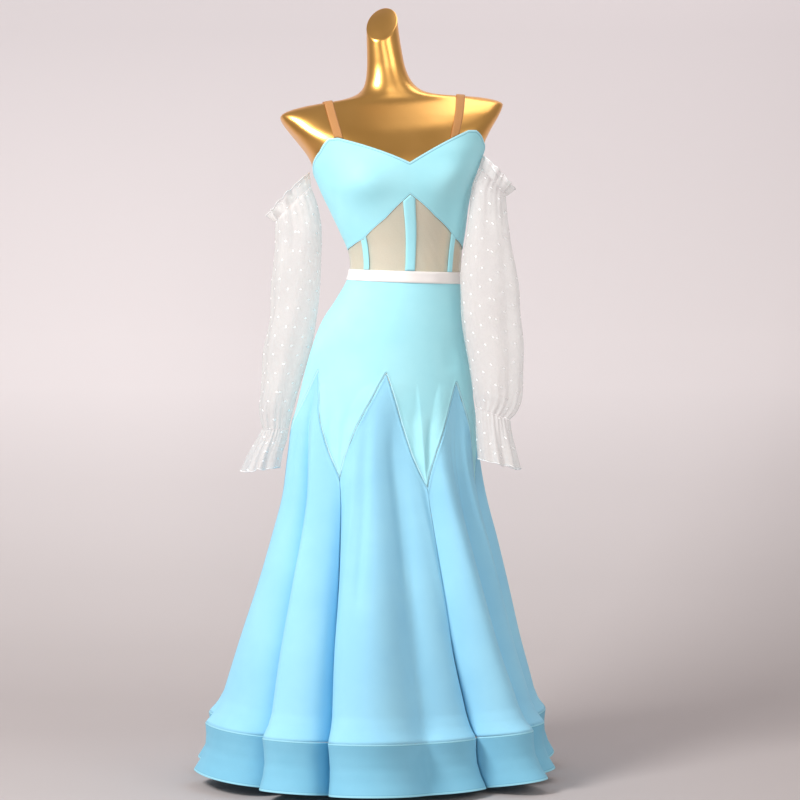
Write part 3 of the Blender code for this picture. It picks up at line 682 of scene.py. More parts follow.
CREPE = (0.40, 0.83, 0.93)
CREPE_LIGHT = (0.46, 0.88, 0.97)
# Each fold gives its edge, its width, the painted highlight colour of the fold and the painted shade colour
# of its stitch line.
bodice_crepe = cloth_finish("aqua crepe, folded top", CREPE, CREPE_LIGHT, 2300, 0.35, 0.12,
                            fold=((0, 0.0045, (0.44, 0.84, 0.94), (0.14, 0.42, 0.60)),
                                  (1, 0.0020, (0.50, 0.87, 0.96), (0.20, 0.52, 0.66))))
yoke_crepe = cloth_finish("aqua crepe, seamed", CREPE, CREPE_LIGHT, 2300, 0.35, 0.12,
                          fold=((1, 0.0024, (0.56, 0.90, 0.98), (0.18, 0.46, 0.60)),))
godet_georgette = cloth_finish("aqua georgette", (0.325, 0.70, 0.935), (0.37, 0.76, 0.97), 1800, 0.4, 0.08,
                               fold=((0, 0.0016, (0.44, 0.79, 0.96), (0.20, 0.50, 0.70)),))
band_cloth = cloth_finish("stiff hem band", (0.22, 0.56, 0.76), (0.26, 0.61, 0.81), 900, 0.5, 0.07,
                          fold=((0, 0.0030, (0.36, 0.74, 0.90), (0.14, 0.42, 0.60)),
                                (1, 0.0040, (0.34, 0.72, 0.88), (0.15, 0.44, 0.62))))
print("finishes:", bodice_crepe.name, yoke_crepe.name, godet_georgette.name, band_cloth.name)


# %% [markdown]
# Sheer cloths let light through between their threads. Here the gaps are an Alpha value: part of each
# ray goes on behind the cloth. The midriff is a stretch net over the form; the sleeves are crisp
# organza with small woven dots, set in staggered rows, that are denser than the ground.

# %% Sheer cloths: net and dotted organza
def sheer_finish(name, base, density, threads, sheen, dots=False, warm=None):
    """A see-through cloth, with woven dots if it has them."""
    made, tree, shader = new_finish(name, base, 0.6)
    shader.inputs["Sheen Weight"].default_value = sheen
    shader.inputs["Sheen Roughness"].default_value = 0.3
    flat, weave = add_weave(tree, threads)
    colour = add_mottle(tree, base, warm or base, 11.0).outputs["Color"]
    thread_share = math_node(tree, "MULTIPLY", weave.outputs["Shade"], 0.10)
    alpha = math_node(tree, "ADD", density - 0.05, thread_share)
    height = weave.outputs["Height"]
    if dots:
        spots = place_group(tree, DOTS, Spacing=0.036, Radius=0.0024)
        join(tree, flat.outputs[0], spots.inputs["Vector"])
        alpha = math_node(tree, "MAXIMUM", alpha, math_node(tree, "MULTIPLY", spots.outputs["Mask"], 0.95))
        colour = mix_colours(tree, spots.outputs["Mask"], colour, (1.0, 1.0, 1.0))
        height = math_node(tree, "ADD", height, math_node(tree, "MULTIPLY", spots.outputs["Mask"], 3.0))
    join(tree, colour, shader.inputs["Base Color"])
    join(tree, alpha, shader.inputs["Alpha"])
    add_relief(tree, shader, height, 0.3, 0.0003)
    return made


midriff_net = sheer_finish("nude power net", (0.80, 0.86, 0.74), 0.64, 1400, 0.3, warm=(0.86, 0.88, 0.75))
sleeve_organza = sheer_finish("white dotted organza", (0.82, 0.805, 0.795), 0.44, 2600, 0.3, dots=True,
                              warm=(0.87, 0.855, 0.83))
edge_organza = sheer_finish("rolled organza edge", (0.98, 0.98, 0.98), 0.9, 2600, 0.6)
print("finishes:", midriff_net.name, sleeve_organza.name, edge_organza.name)

# %% Satin, elastic, lacquer and steel
white_satin, tree, shader = new_finish("white satin", (0.90, 0.865, 0.85), 0.34)
shader.inputs["Sheen Weight"].default_value = 0.25
shader.inputs["Anisotropic"].default_value = 0.5
mottled = add_mottle(tree, (0.88, 0.84, 0.825), (0.95, 0.92, 0.90), 16.0)
join(tree, mottled.outputs["Color"], shader.inputs["Base Color"])
weave = add_weave(tree, 3000)[1]
add_relief(tree, shader, weave.outputs["Shade"], 0.15, 0.0002)
join(tree, math_node(tree, "ADD", 0.28, math_node(tree, "MULTIPLY", weave.outputs["Shade"], 0.12)),
     shader.inputs["Roughness"])

tan_elastic, tree, shader = new_finish("tan elastic", (0.52, 0.24, 0.07), 0.6)
shader.inputs["Sheen Weight"].default_value = 0.12
ribs = add_weave(tree, 900)[1]
# Painted shade: the elastic's colour is darker in the hollows of its ribs and lighter on their tops,
# following the rib height.
rib_height = math_node(tree, "ADD", ribs.outputs["Height"], 1.0)
rib_shade_share = math_node(tree, "MULTIPLY", rib_height, 0.5, clamp=True)
rib_shaded_colour = mix_colours(tree, rib_shade_share, (0.46, 0.205, 0.055), (0.58, 0.265, 0.08))
join(tree, rib_shaded_colour, shader.inputs["Base Color"])
add_relief(tree, shader, ribs.outputs["Height"], 0.5, 0.0004)

gold_lacquer, tree, shader = new_finish("gold lacquer", (0.93, 0.49, 0.14), 0.26, 1.0)
shader.inputs["Coat Weight"].default_value = 0.1
shader.inputs["Coat Roughness"].default_value = 0.08
mottled = add_mottle(tree, (0.88, 0.46, 0.12), (0.95, 0.52, 0.155), 7.0)
join(tree, mottled.outputs["Color"], shader.inputs["Base Color"])
join(tree, math_node(tree, "ADD", 0.28, math_node(tree, "MULTIPLY", mottled.outputs["Amount"], 0.06)),
     shader.inputs["Roughness"])
place = add_node(tree, "ShaderNodeTexCoord")
orange_peel = add_node(tree, "ShaderNodeTexNoise", Scale=60.0, Detail=1.0)
join(tree, place.outputs["Object"], orange_peel.inputs["Vector"])
add_relief(tree, shader, orange_peel.outputs["Fac"], 0.04, 0.002)

brushed_steel, tree, shader = new_finish("brushed steel", (0.55, 0.55, 0.56), 0.3, 1.0)
place = add_node(tree, "ShaderNodeTexCoord")
stretch = add_node(tree, "ShaderNodeMapping")
stretch.inputs["Scale"].default_value = (40.0, 40.0, 900.0)
streaks = add_node(tree, "ShaderNodeTexNoise", Scale=1.0, Detail=3.0)
join(tree, place.outputs["Object"], stretch.inputs["Vector"])
join(tree, stretch.outputs[0], streaks.inputs["Vector"])
join(tree, math_node(tree, "ADD", 0.22, math_node(tree, "MULTIPLY", streaks.outputs["Fac"], 0.2)),
     shader.inputs["Roughness"])
add_relief(tree, shader, streaks.outputs["Fac"], 0.08, 0.0003)
print("finishes:", white_satin.name, tan_elastic.name, gold_lacquer.name, brushed_steel.name)

# %% [markdown]
# ## The dress form
# The form is one smooth lacquered body with no limbs. Its skin lies a few millimetres inside the
# cloth. It is a grid wrapped round the figure, closed below by a rounded foot and above by the slanted
# cut of the neck. A broad bevel keeps the cut's rim from looking knife-sharp.

# %% The form's body
FORM_INSET = 0.0042
FORM_CUT = 0.740
FOOT = ((608, 0.22), (609, 0.37), (611, 0.48), (615, 0.62), (620, 0.72), (628, 0.79), (638, 0.84),
        (650, 0.87), (664, 0.895), (680, 0.918), (700, 0.94), (722, 0.97))
FORM_COLUMNS = 96
ring_heights = spread(0.740, 1.200, 46) + spread(1.208, 1.300, 24) + spread(1.306, 1.428, 18)
cut_middle = sum((figure_point(angle, FORM_CUT) for angle in spread(0, 360, 96)[1:]), Vector()) / 96


def form_point(angle, ring):
    """A point of the form's skin at an angle and a ring number."""
    if ring < len(FOOT):
        point = cut_middle.lerp(figure_point(angle, FORM_CUT, -FORM_INSET), FOOT[ring][1])
        point.z = FOOT[ring][0] * MM
        return point
    return figure_point(angle, ring_heights[ring - len(FOOT)], -FORM_INSET)


bm = bmesh.new()
form_rings = len(FOOT) + len(ring_heights) - 1
bmesh.ops.create_grid(bm, x_segments=FORM_COLUMNS, y_segments=form_rings, size=0.5)
for vert in bm.verts:
    turn = 360.0 * round((vert.co.x + 0.5) * FORM_COLUMNS) / FORM_COLUMNS
    vert.co = form_point(turn, round((vert.co.y + 0.5) * form_rings))
bmesh.ops.remove_doubles(bm, verts=bm.verts, dist=0.00001)
rims = [edge for edge in bm.edges if edge.is_boundary]
caps = bmesh.ops.edgeloop_fill(bm, edges=rims)["faces"]
bmesh.ops.inset_region(bm, faces=caps, thickness=0.0022, depth=0.0012, use_even_offset=True)
bmesh.ops.recalc_face_normals(bm, faces=bm.faces)
bm.normal_update()
form_tree = BVHTree.FromBMesh(bm)
form_body = add_piece("form_body", bm, gold_lacquer)
form_body.data.shade_smooth()
form_body.data.set_sharp_from_angle(angle=math.radians(38))
stand_for(form_body, "dress_form")
print("form:", len(form_body.data.polygons), "faces")


# %% [markdown]
# ## The stand
# A steel tube in a heavy round plate carries the form. A profile turned about the upright axis makes
# each; `use_merge` closes the full turn.

# %% Base plate and pole
def turned(name, outline, steps):
    """A solid turned about the Z axis from its outline."""
    bm = bmesh.new()
    verts = [bm.verts.new((radius, 0, height)) for radius, height in outline]
    edges = [bm.edges.new(pair) for pair in zip(verts, verts[1:])]
    bmesh.ops.spin(bm, geom=verts + edges, cent=(0, 0, 0), axis=(0, 0, 1), angle=math.tau, steps=steps,
                   use_merge=True)
    bmesh.ops.remove_doubles(bm, verts=bm.verts, dist=0.00001)
    bmesh.ops.recalc_face_normals(bm, faces=bm.faces)
    made = add_piece(name, bm, brushed_steel)
    made.data.shade_smooth()
    made.data.set_sharp_from_angle(angle=math.radians(50))
    return made


PLATE_RADIUS = 0.165
RIM_ROUND = 0.003
RIM_FOOT = 0.009
PLATE_TOP = 0.0121
POLE_RADIUS = 0.016
POLE_FOOT = 0.0123
POLE_TOP = 0.6077
rim = [(PLATE_RADIUS - RIM_ROUND * (1 - math.cos(turn)), RIM_FOOT + RIM_ROUND * math.sin(turn))
       for turn in np.radians(range(0, 91, 15))]
plate_outline = [(0, 0), (0.164, 0), (PLATE_RADIUS, 0.001)] + rim + [(0.02, PLATE_TOP), (0, PLATE_TOP)]
pole_outline = [(0, POLE_FOOT), (POLE_RADIUS, POLE_FOOT), (POLE_RADIUS, POLE_TOP), (0, POLE_TOP)]
base_plate = turned("base_plate", plate_outline, 96)
pole_tube = turned("pole_tube", pole_outline, 48)
stand_for(base_plate, "form_base")
stand_for(pole_tube, "form_pole")
print("stand:", len(base_plate.data.polygons), "+", len(pole_tube.data.polygons), "faces")

# %% [markdown]
# ## Bodice and midriff
# The bodice is stretch crepe, cut in a front and a back. The neckline dips in a V between two
# soft points, and the lower edge rises in an inverted V, so the net of the midriff shows like a window.
# Three boning casings cross the window to hold it flat.

# %% Edges of the bodice
NECKLINE_MM = ((0, 1151.5), (38, 1209), (44, 1209), (60, 1189), (72, 1180), (82, 1173), (90, 1164),
               (110, 1147), (140, 1136), (180, 1132))
BODICE_EDGE_MM = ((0, 1094), (6, 1083), (22, 1054), (48, 1020), (70, 1007), (90, 1000), (180, 1000))
SEAM = 0.00035
SIDE_GAP = 0.09


def front_angle(angle):
    """The unsigned angle from the front."""
    return abs((angle + 180.0) % 360.0 - 180.0)


def neckline(angle):
    """Height of the bodice's upper edge at an angle."""
    return straight_column(NECKLINE_MM, front_angle(angle)) * MM


def bodice_edge(angle):
    """Height of the bodice's lower edge at an angle."""
    return straight_column(BODICE_EDGE_MM, front_angle(angle)) * MM


def between(lower, upper):
    """Heights at shares of the way between two edges."""
    def heights(angle, shares):
        low, high = lower(angle), upper(angle)
        return [low + (high - low) * share for share in shares]
    return heights


def eased(rows):
    """Shares from 0 to 1 that lie closer together at both ends."""
    return [(1 - math.cos(math.pi * k / rows)) / 2 for k in range(rows + 1)]


def with_stops(start, end, steps, stops):
    """Evenly spaced angles that also pass through each stop."""
    values = spread(start, end, steps)
    for stop in stops:
        near = min(range(1, steps), key=lambda k: abs(values[k] - stop))
        values[near] = stop
    return values


FRONT = (LEFT_SIDE + SIDE_GAP, RIGHT_SIDE - SIDE_GAP)
BACK = (RIGHT_SIDE + SIDE_GAP, 360 + LEFT_SIDE - SIDE_GAP)
print("neckline point", round(neckline(0), 4), "lower edge", round(bodice_edge(0), 4))


# %% Relief of the bodice
def folded_edge(distance, width, rise):
    """A turned edge: a flat rise that ends in a dip at its stitch line and rolls in at the very edge."""
    fold = rise * soft_step((width - distance) / 0.0012)
    stitch = -0.5 * rise * np.exp(-((distance - width) / 0.0009) ** 2)
    lip = -1.6 * rise * np.exp(-(distance / 0.0007) ** 2)
    return fold + stitch + lip


def pucker(measure, distance, reach, depth, pitch):
    """Small uneven waves that fade away from a seam."""
    along = measure["across"] + measure["height"] * 0.7
    wave = np.sin(along * math.tau / pitch) + 0.6 * np.sin(along * math.tau / (pitch * 1.73) + 1.3)
    return depth * wave * np.exp(-distance / reach)


CREASES_BODICE = (
    (-62, 1120, -76, 1060, 9, -0.8),
    (-20, 1190, -8, 1158, 7, -0.5),
    (22, 1192, 9, 1160, 7, -0.6),
    (60, 1130, 74, 1060, 9, -0.9),
    (50, 1040, 70, 1020, 6, 0.5),
    (150, 1120, 200, 1108, 12, -0.7),
    (215, 1080, 160, 1050, 12, -0.8),
    (120, 1110, 128, 1030, 8, -0.7),
    (232, 1120, 226, 1030, 8, -0.7),
)


def creases(measure, rows):
    """Soft troughs and ridges, each from an upper to a lower point, with half width and height in mm."""
    total = np.zeros_like(measure["height"])
    for top_angle, top, foot_angle, foot, width, rise in rows:
        share = (top * MM - measure["height"]) / ((top - foot) * MM)
        middle = top_angle + (foot_angle - top_angle) * np.clip(share, 0, 1)
        aside = np.radians((measure["angle"] - middle + 180) % 360 - 180) * measure["radius"]
        fade = soft_step(share * 4) * soft_step((1 - share) * 4)
        total += rise * MM * np.exp(-(aside / (width * MM)) ** 2) * fade
    return total


def bodice_relief(measure):
    """Folded neckline, turned lower edge and soft strain creases."""
    calm = soft_step(measure["top"] / 0.02) * soft_step(measure["foot"] / 0.01)
    return (folded_edge(measure["top"], 0.0045, 0.0005) + folded_edge(measure["foot"], 0.002, 0.0003)
            + pucker(measure, measure["top"], 0.006, 0.00012, 0.008)
            + creases(measure, CREASES_BODICE) * calm)


print("bodice creases:", len(CREASES_BODICE))

# %% Bodice panels
CREPE_WALL = 0.0008
bodice_stops = (-48, -44, -38, 0, 38, 44, 48)
front_angles = with_stops(*FRONT, 180, bodice_stops)
bodice_edges = between(bodice_edge, neckline)
bodice_front_cloth = cloth_panel("bodice_front_cloth", front_angles, eased(44), bodice_edges, figure_point,
                                 bodice_crepe, bodice_relief, wall=CREPE_WALL)
bodice_back_cloth = cloth_panel("bodice_back_cloth", spread(*BACK, 150), eased(36), bodice_edges,
                                figure_point, bodice_crepe, bodice_relief, wall=CREPE_WALL)
stand_for(bodice_front_cloth, "bodice_front")
stand_for(bodice_back_cloth, "bodice_back")


# %% Midriff net
def net_point(angle, height):
    """The net lies a touch closer to the form than the crepe."""
    return figure_point(angle, height, -0.0009)


def net_relief(measure):
    """The net is drawn tight, with a few fine strain lines."""
    strain = np.sin(measure["across"] * 260 + measure["height"] * 90)
    return 0.00025 * strain * soft_step(measure["top"] / 0.02)


midriff_edges = between(lambda angle: WAIST + SEAM, lambda angle: bodice_edge(angle) - 2 * SEAM)
midriff_angles = with_stops(*FRONT, 120, (-48, 0, 48))
midriff_front_net = cloth_panel("midriff_front_net", midriff_angles, spread(0, 1, 24), midriff_edges,
                                net_point, midriff_net, net_relief)
midriff_back_net = cloth_panel("midriff_back_net", spread(*BACK, 120), spread(0, 1, 16), midriff_edges,
                               net_point, midriff_net, net_relief)
stand_for(midriff_front_net, "midriff_front")
stand_for(midriff_back_net, "midriff_back")

# %% Boning casings
BONES = (("bone_left", -49.0, 0.0065), ("bone_centre", -1.0, 0.0082), ("bone_right", 46.0, 0.0065))
belt_top = WAIST + 0.0105 + SEAM


def casing_point(angle, height):
    """The outside of a boning casing."""
    return figure_point(angle, height, 0.0016)


def casing_relief(measure):
    """A rounded casing: high along the bone, stitched down along both long edges."""
    half = measure["across"][-1] / 2
    aside = np.abs(measure["across"] - half) / half
    return -0.0012 * aside ** 6 + 0.0003 * (1 - aside ** 2)


bone_crepe = cloth_finish("aqua crepe, casing", CREPE, CREPE_LIGHT, 2300, 0.35, 0.3)
for name, middle, half_width in BONES:
    half_angle = math.degrees(half_width / 0.095)
    casing_angles = spread(middle - half_angle, middle + half_angle, 16)
    casing = cloth_panel(name + "_casing", casing_angles, spread(0, 1, 30),
                         between(lambda angle: belt_top, lambda angle: bodice_edge(angle) - 3 * SEAM),
                         casing_point, bone_crepe, casing_relief, wall=0.0009)
    stand_for(casing, name)

# %% [markdown]
# ## The belt
# A folded band of satin hides the seam at the waist. It is a closed ring, a little slack, so it shows
# shallow cross ripples where the light slides along it.

# %% Satin belt
def belt_point(angle, height):
    """The outside of the belt."""
    return figure_point(angle, height, 0.0025)


def belt_relief(measure):
    """Rolled long edges and slack ripples."""
    near_edge = np.minimum(measure["top"], measure["foot"])
    ripples = np.sin(measure["across"] * 95 + measure["height"] * 60) * np.sin(measure["across"] * 31 + 0.7)
    return -0.0011 * np.exp(-(near_edge / 0.0012) ** 2) + 0.0004 * ripples


belt_edges = between(lambda angle: WAIST - 0.0105, lambda angle: WAIST + 0.0105)
belt_satin = cloth_panel("belt_satin", spread(-180, 180, 220), eased(14), belt_edges, belt_point,
                         white_satin, belt_relief, wall=0.0012, closed=True)
stand_for(belt_satin, "belt")

# %% [markdown]
# ## The skirt
# The yoke is fitted and smooth; its lower edge is a zigzag. The godets start at the zigzag's peaks and
# fill it. Sewing a stretched crepe to a slack georgette puckers both, so both edges get a small
# roll and uneven waves. Above each point of the yoke the crepe starts to fall into the folds below.

# %% Creases of the yoke and the godets
CREASES_YOKE = (
    (-29, 700, -27, 590, 6, 1.6),
    (-21, 705, -22, 610, 5, -1.8),
    (-35, 690, -33, 610, 5, -1.4),
    (24, 690, 26, 575, 6, 1.8),
    (18, 700, 21, 600, 5, -1.6),
    (31, 690, 30, 590, 5, -1.8),
    (78, 700, 82, 590, 8, 1.4),
    (60, 860, 46, 760, 22, -1.6),
    (-60, 900, -72, 800, 16, -1.0),
    (147, 690, 147, 580, 8, 1.6),
    (139, 700, 141, 600, 7, -1.6),
    (211, 690, 210, 580, 8, 1.6),
    (203, 700, 204, 600, 7, -1.6),
    (273, 690, 273, 590, 8, 1.4),
    (170, 900, 196, 840, 16, -1.2),
)
CREASES_GODET = (
    (-63, 700, -66, 420, 8, -2.0),
    (-50, 690, -48, 380, 9, -2.0),
    (-9, 720, -12, 300, 7, -3.0),
    (-15, 640, -20, 330, 6, 2.2),
    (6, 700, 8, 320, 6, -2.4),
    (21, 600, 26, 260, 5, 2.0),
    (47, 690, 53, 300, 6, -2.4),
    (60, 690, 66, 320, 6, 2.0),
    (76, 600, 81, 250, 8, -2.2),
    (107, 690, 111, 300, 9, -2.4),
    (124, 690, 130, 330, 8, 2.2),
    (171, 700, 175, 320, 9, -2.6),
    (187, 690, 191, 300, 8, -2.0),
    (235, 700, 236, 300, 9, -2.4),
    (249, 690, 250, 330, 8, 2.0),
    (265, 640, 265, 280, 8, -2.0),
)


def seam_roll(distance):
    """The small roll of cloth along a seam: drawn in at the seam, proud beside it."""
    return -0.0013 * np.exp(-(distance / 0.0012) ** 2) + 0.0007 * np.exp(-((distance - 0.003) / 0.002) ** 2)


def yoke_relief(measure):
    """Seam roll and puckers at the zigzag, and the first creases above its points."""
    waist = soft_step(measure["top"] / 0.03)
    return (seam_roll(measure["foot"]) + pucker(measure, measure["foot"], 0.006, 0.00022, 0.011)
            + creases(measure, CREASES_YOKE) * waist * soft_step(measure["foot"] / 0.006))


def godet_relief(measure):
    """Seam roll and puckers along the yoke, a faint roll at the band, and the long creases."""
    calm = soft_step(measure["top"] / 0.010) * soft_step(measure["foot"] / 0.02)
    return (seam_roll(measure["top"]) + pucker(measure, measure["top"], 0.007, 0.00025, 0.012)
            - 0.0007 * np.exp(-(measure["foot"] / 0.0015) ** 2)
            + pucker(measure, measure["foot"], 0.005, 0.00022, 0.014)
            + creases(measure, CREASES_GODET) * calm)


print("skirt creases:", len(CREASES_YOKE), "+", len(CREASES_GODET))


# %% Yoke panels
def godet_angles(index, gap, steps):
    """Column angles of one godet, through its ridges and troughs."""
    left = GODETS_MM[index - 1][2] - (360 if index == 0 else 0)
    first, second = FOLDS[2 * index], FOLDS[2 * index + 1]
    stops = [left + gap, first[0], first[3], second[0], second[3] - gap]
    values = [stops[0]]
    for start, end in zip(stops, stops[1:]):
        values += spread(start, end, steps)[1:]
    return values


def panel_angles(indices, steps):
    """Column angles of a yoke panel over several godets, drawn in at its side seams."""
    values = []
    for index in indices:
        values += godet_angles(index, 0.0, steps)[1 if values else 0:]
    values[0] += SIDE_GAP
    values[-1] -= SIDE_GAP
    return values


def yoke_heights(angle, shares):
    """Rows of the yoke: even from the zigzag to the hip line, then level up to the waist."""
    foot, hip, top = seam_height(angle) + 0.0007, 0.800, WAIST - SEAM
    return [foot + (hip - foot) * share / 0.6 if share <= 0.6 else hip + (top - hip) * (share - 0.6) / 0.4
            for share in shares]


yoke_shares = [0.6 * (share ** 1.5) for share in spread(0, 1, 34)] + spread(0.6, 1.0, 26)[1:]
for name, indices in (("yoke_front", (0, 1, 2)), ("yoke_back", (3, 4, 5))):
    yoke = cloth_panel(name + "_cloth", panel_angles(indices, 20), yoke_shares, yoke_heights, skirt_point,
                       yoke_crepe, yoke_relief, wall=CREPE_WALL)
    stand_for(yoke, name)


# %% Godets
def godet_heights(angle, shares):
    """Rows of a godet, from the band to the zigzag."""
    foot, top = BAND_TOP + SEAM, seam_height(angle) - 0.0007
    return [foot + (top - foot) * share for share in shares]


godet_shares = spread(0, 0.1, 14) + [0.1 + 0.9 * (1 - (1 - share) ** 1.6) for share in spread(0, 1, 66)[1:]]
for index in range(6):
    name = "godet_%d" % (index + 1)
    godet = cloth_panel(name + "_cloth", godet_angles(index, SIDE_GAP, 26), godet_shares, godet_heights,
                        skirt_point, godet_georgette, godet_relief, wall=CREPE_WALL)
    stand_for(godet, name)


# %% [markdown]
# ## The hem band
# Horsehair braid inside the band makes it stand out like the rim of a bell. The band keeps its height
# all round, and only its edges roll.

# %% Hem band
def band_relief(measure):
    """A firm, even band with rolled edges."""
    top = measure["top"]
    return (-0.0008 * np.exp(-(top / 0.0013) ** 2) + 0.0004 * np.exp(-((top - 0.003) / 0.002) ** 2)
            + pucker(measure, measure["top"], 0.006, 0.00025, 0.016)
            - 0.0006 * np.exp(-(measure["foot"] / 0.0012) ** 2))


band_edges = between(lambda angle: HEM, lambda angle: BAND_TOP - SEAM)
for index in range(6):
    name = "hem_band_%d" % (index + 1)
    band = cloth_panel(name + "_cloth", godet_angles(index, SIDE_GAP, 26), eased(22), band_edges,
                       skirt_point, band_cloth, band_relief, wall=0.0016)
    stand_for(band, name)

# %% [markdown]
# ## The straps
# Two bands of tan elastic carry the dress. Each lies on the form's shoulder, so its points are found by
# rays from inside the form: where a ray leaves the form, the strap lies just above it.

# %% Straps
STRAPS = (("strap_left", -0.083, -0.113, -0.088), ("strap_right", 0.132, 0.146, 0.124))
STRAP_WIDTH = 0.017
STRAP_EYE = Vector((0, 0.008, 1.175))


def strap_place(x, elevation):
    """Where the strap lies, in the plane of one x, at an elevation of the ray."""
    ray = Vector((0, -math.cos(elevation), math.sin(elevation)))
    place, normal, index, distance = form_tree.ray_cast(Vector((x, STRAP_EYE.y, STRAP_EYE.z)), ray)
    if normal.dot(ray) < 0:
        normal = -normal
    return place + normal * 0.0026


def edge_height(x, low, high):
    """Height of the bodice's upper edge where it passes a given x."""
    places = [figure_point(angle, neckline(angle)) for angle in spread(low, high, 720)]
    return min(places, key=lambda place: abs(place.x - x)).z


def strap_end(x, target, behind):
    """The elevation at which the strap reaches a height, found by halving."""
    low, high = -0.6, 1.2
    for _ in range(30):
        middle = (low + high) / 2
        if strap_place(x, math.pi - middle if behind else middle).z < target:
            low = middle
        else:
            high = middle
    return math.pi - high if behind else high


for name, front_x, top_x, back_x in STRAPS:
    lanes = []
    for lane in spread(-0.5, 0.5, 8):
        front, back = front_x + lane * STRAP_WIDTH, back_x + lane * STRAP_WIDTH
        first = strap_end(front, edge_height(front, -90, 90) + 0.0008, False)
        last = strap_end(back, edge_height(back, 90, 270) + 0.0018, True)
        lanes.append((front, top_x + lane * STRAP_WIDTH, back, first, last))

    def strap_surface(lane, share, lanes=lanes):
        """A point of the strap: its lane across, its share of the way from front to back."""
        front, top, back, first, last = lanes[int(lane)]
        x = front + (back - front) * share + (top - (front + back) / 2) * math.sin(math.pi * share)
        return strap_place(x, first + (last - first) * share)

    def strap_relief(measure):
        """Thin woven edges on both sides."""
        half = measure["across"][-1] / 2
        aside = np.abs(measure["across"] - half) / half
        return -0.0005 * aside ** 8

    strap = cloth_panel(name + "_elastic", range(9), spread(0, 1, 90), lambda lane, shares: shares,
                        strap_surface, tan_elastic, strap_relief, wall=0.0012)
    stand_for(strap, name)

# %% [markdown]
# ## The sleeves
# Each sleeve is a wide tube of organza, gathered on elastic above the elbow and at the wrist, with a
# frill over the upper gathers and a flounce below the lower ones. The table gives the hanging tube; the
# gathers are sums of waves of different length, strong at both ends and faint between.

# %% Tables of the sleeves
SLEEVE_LEFT_MM = (
    (1086, -207, -138, 6, 27, 0.95),
    (1062, -209, -126, 9, 32, 0.60),
    (1029, -210, -118, 12, 36, 0.25),
    (990, -213, -118, 15, 39, 0.08),
    (924, -217, -122, 20, 41, 0),
    (875, -220, -127, 24, 41, 0),
    (812, -231, -139, 28, 40, 0),
    (759, -235, -155, 30, 37, 0),
    (702, -240, -172, 31, 33, 0),
    (680, -238, -178, 31, 28, 0),
    (660, -233, -183, 31, 24, 0),
)
SLEEVE_RIGHT_MM = (
    (1126, 179.6, 232, -12, 27, -1.0),
    (1104, 166, 232, -34, 31, -0.55),
    (1062, 160, 234, -44, 33, -0.25),
    (1020, 154, 240, -50, 35, -0.08),
    (952, 143, 250, -52, 37, 0),
    (918, 143, 256, -52, 38, 0),
    (867, 145, 260, -52, 38, 0),
    (787, 158, 264, -52, 37, 0),
    (724, 167, 260, -52, 34, -0.12),
    (704, 170, 250, -52, 28, -0.28),
    (690, 172, 236, -52, 24, -0.38),
)
CUFF_LEFT_MM = ((659, -233, -183, 31, 24, 0), (640, -242, -186, 31, 27, 0), (614, -256, -193, 31, 33, 0.04),
                (583, -268, -199, 31, 38, 0.10))
CUFF_RIGHT_MM = ((689, 172, 236, -52, 24, -0.38), (666, 172, 239, -53, 27, -0.34),
                 (638, 173, 244, -55, 32, -0.28), (596, 177, 252, -58, 37, -0.24))
FRILL_LEFT_MM = ((1087, -207, -138, 6, 27, 0.95), (1097, -213, -140, 6, 31, 0.98),
                 (1108, -218, -143, 6, 34, 1.0))
FRILL_RIGHT_MM = ((1127, 179.6, 232, -12, 27, -1.0), (1137, 183, 238, -12, 31, -1.02),
                  (1147, 188, 243, -12, 34, -1.05))


def tube_surface(table, body_side, wave_at):
    """The surface of a hanging tube; the side that faces the body stays calm, so nothing touches."""
    ordered = sorted(table)
    low, high = ordered[0][0] * MM, ordered[-1][0] * MM

    def surface(angle, height):
        left, right, middle_y, depth, rise = smooth_columns(ordered, height / MM)
        sine = math.sin(math.radians(angle))
        cosine = math.cos(math.radians(angle))
        share = (height - low) / (high - low)
        free = 0.5 + 0.5 * max(-1.0, min(1.0, -sine * body_side * 1.6 + 0.2))
        wave, drop = wave_at(share, angle)
        wave = wave * (0.25 + 0.75 * free)
        x = ((right - left) / 2 * MM + wave) * sine
        y = -(depth * MM + wave) * cosine
        return Vector(((left + right) / 2 * MM + x, middle_y * MM + y, height + rise * x + drop * free))

    return surface, low, high


def waves(angle, *parts):
    """A sum of waves round the tube: count, height in mm and phase of each."""
    turn = math.radians(angle)
    return sum(height * MM * math.cos(count * turn + phase) for count, height, phase in parts)


def sleeve_wave(share, angle):
    """Gathers at both ends, long soft flutes between, and cross folds where the sleeve sags."""
    ends = abs(2 * share - 1) ** 3
    gathers = waves(angle, (21, 1.1, 0.4), (13, 1.0, 2.0 + 3 * share)) * ends ** 1.6
    flutes = waves(angle, (4, 1.9, 1.0 + 2.2 * share), (7, 1.3, 0.3 - 3.0 * share))
    sag = 1.3 * MM * math.sin(share * 21 + 1.6 * math.sin(math.radians(angle) * 2) + 0.8)
    return gathers + flutes * (0.5 + 0.5 * (1 - ends)) + sag * (1 - ends) - 0.0016, 0.0


def cuff_wave(share, angle):
    """A flounce: flat at its gathers, wavy and dipping at its edge."""
    loose = (1 - share) ** 1.2
    wave = waves(angle, (9, 5.2, 0.2), (5, 1.8, 1.9), (14, 1.6, 0.5 + share)) * loose
    gathers = waves(angle, (27, 0.9, share), (19, 0.6, 1.0)) * share
    return wave + gathers, 2.4 * MM * loose * math.cos(math.radians(9 * angle) + 1.4)


def frill_wave(share, angle):
    """A standing frill, tight at its gathers and open at its edge."""
    wave = waves(angle, (8, 4.2, 0.6), (13, 2.2, 1.4), (21, 1.0, 0.2)) * (0.15 + share)
    return wave, 2.2 * MM * share * math.cos(math.radians(13 * angle) + 0.9)


print("sleeve tables:", len(SLEEVE_LEFT_MM), "and", len(SLEEVE_RIGHT_MM), "rows")

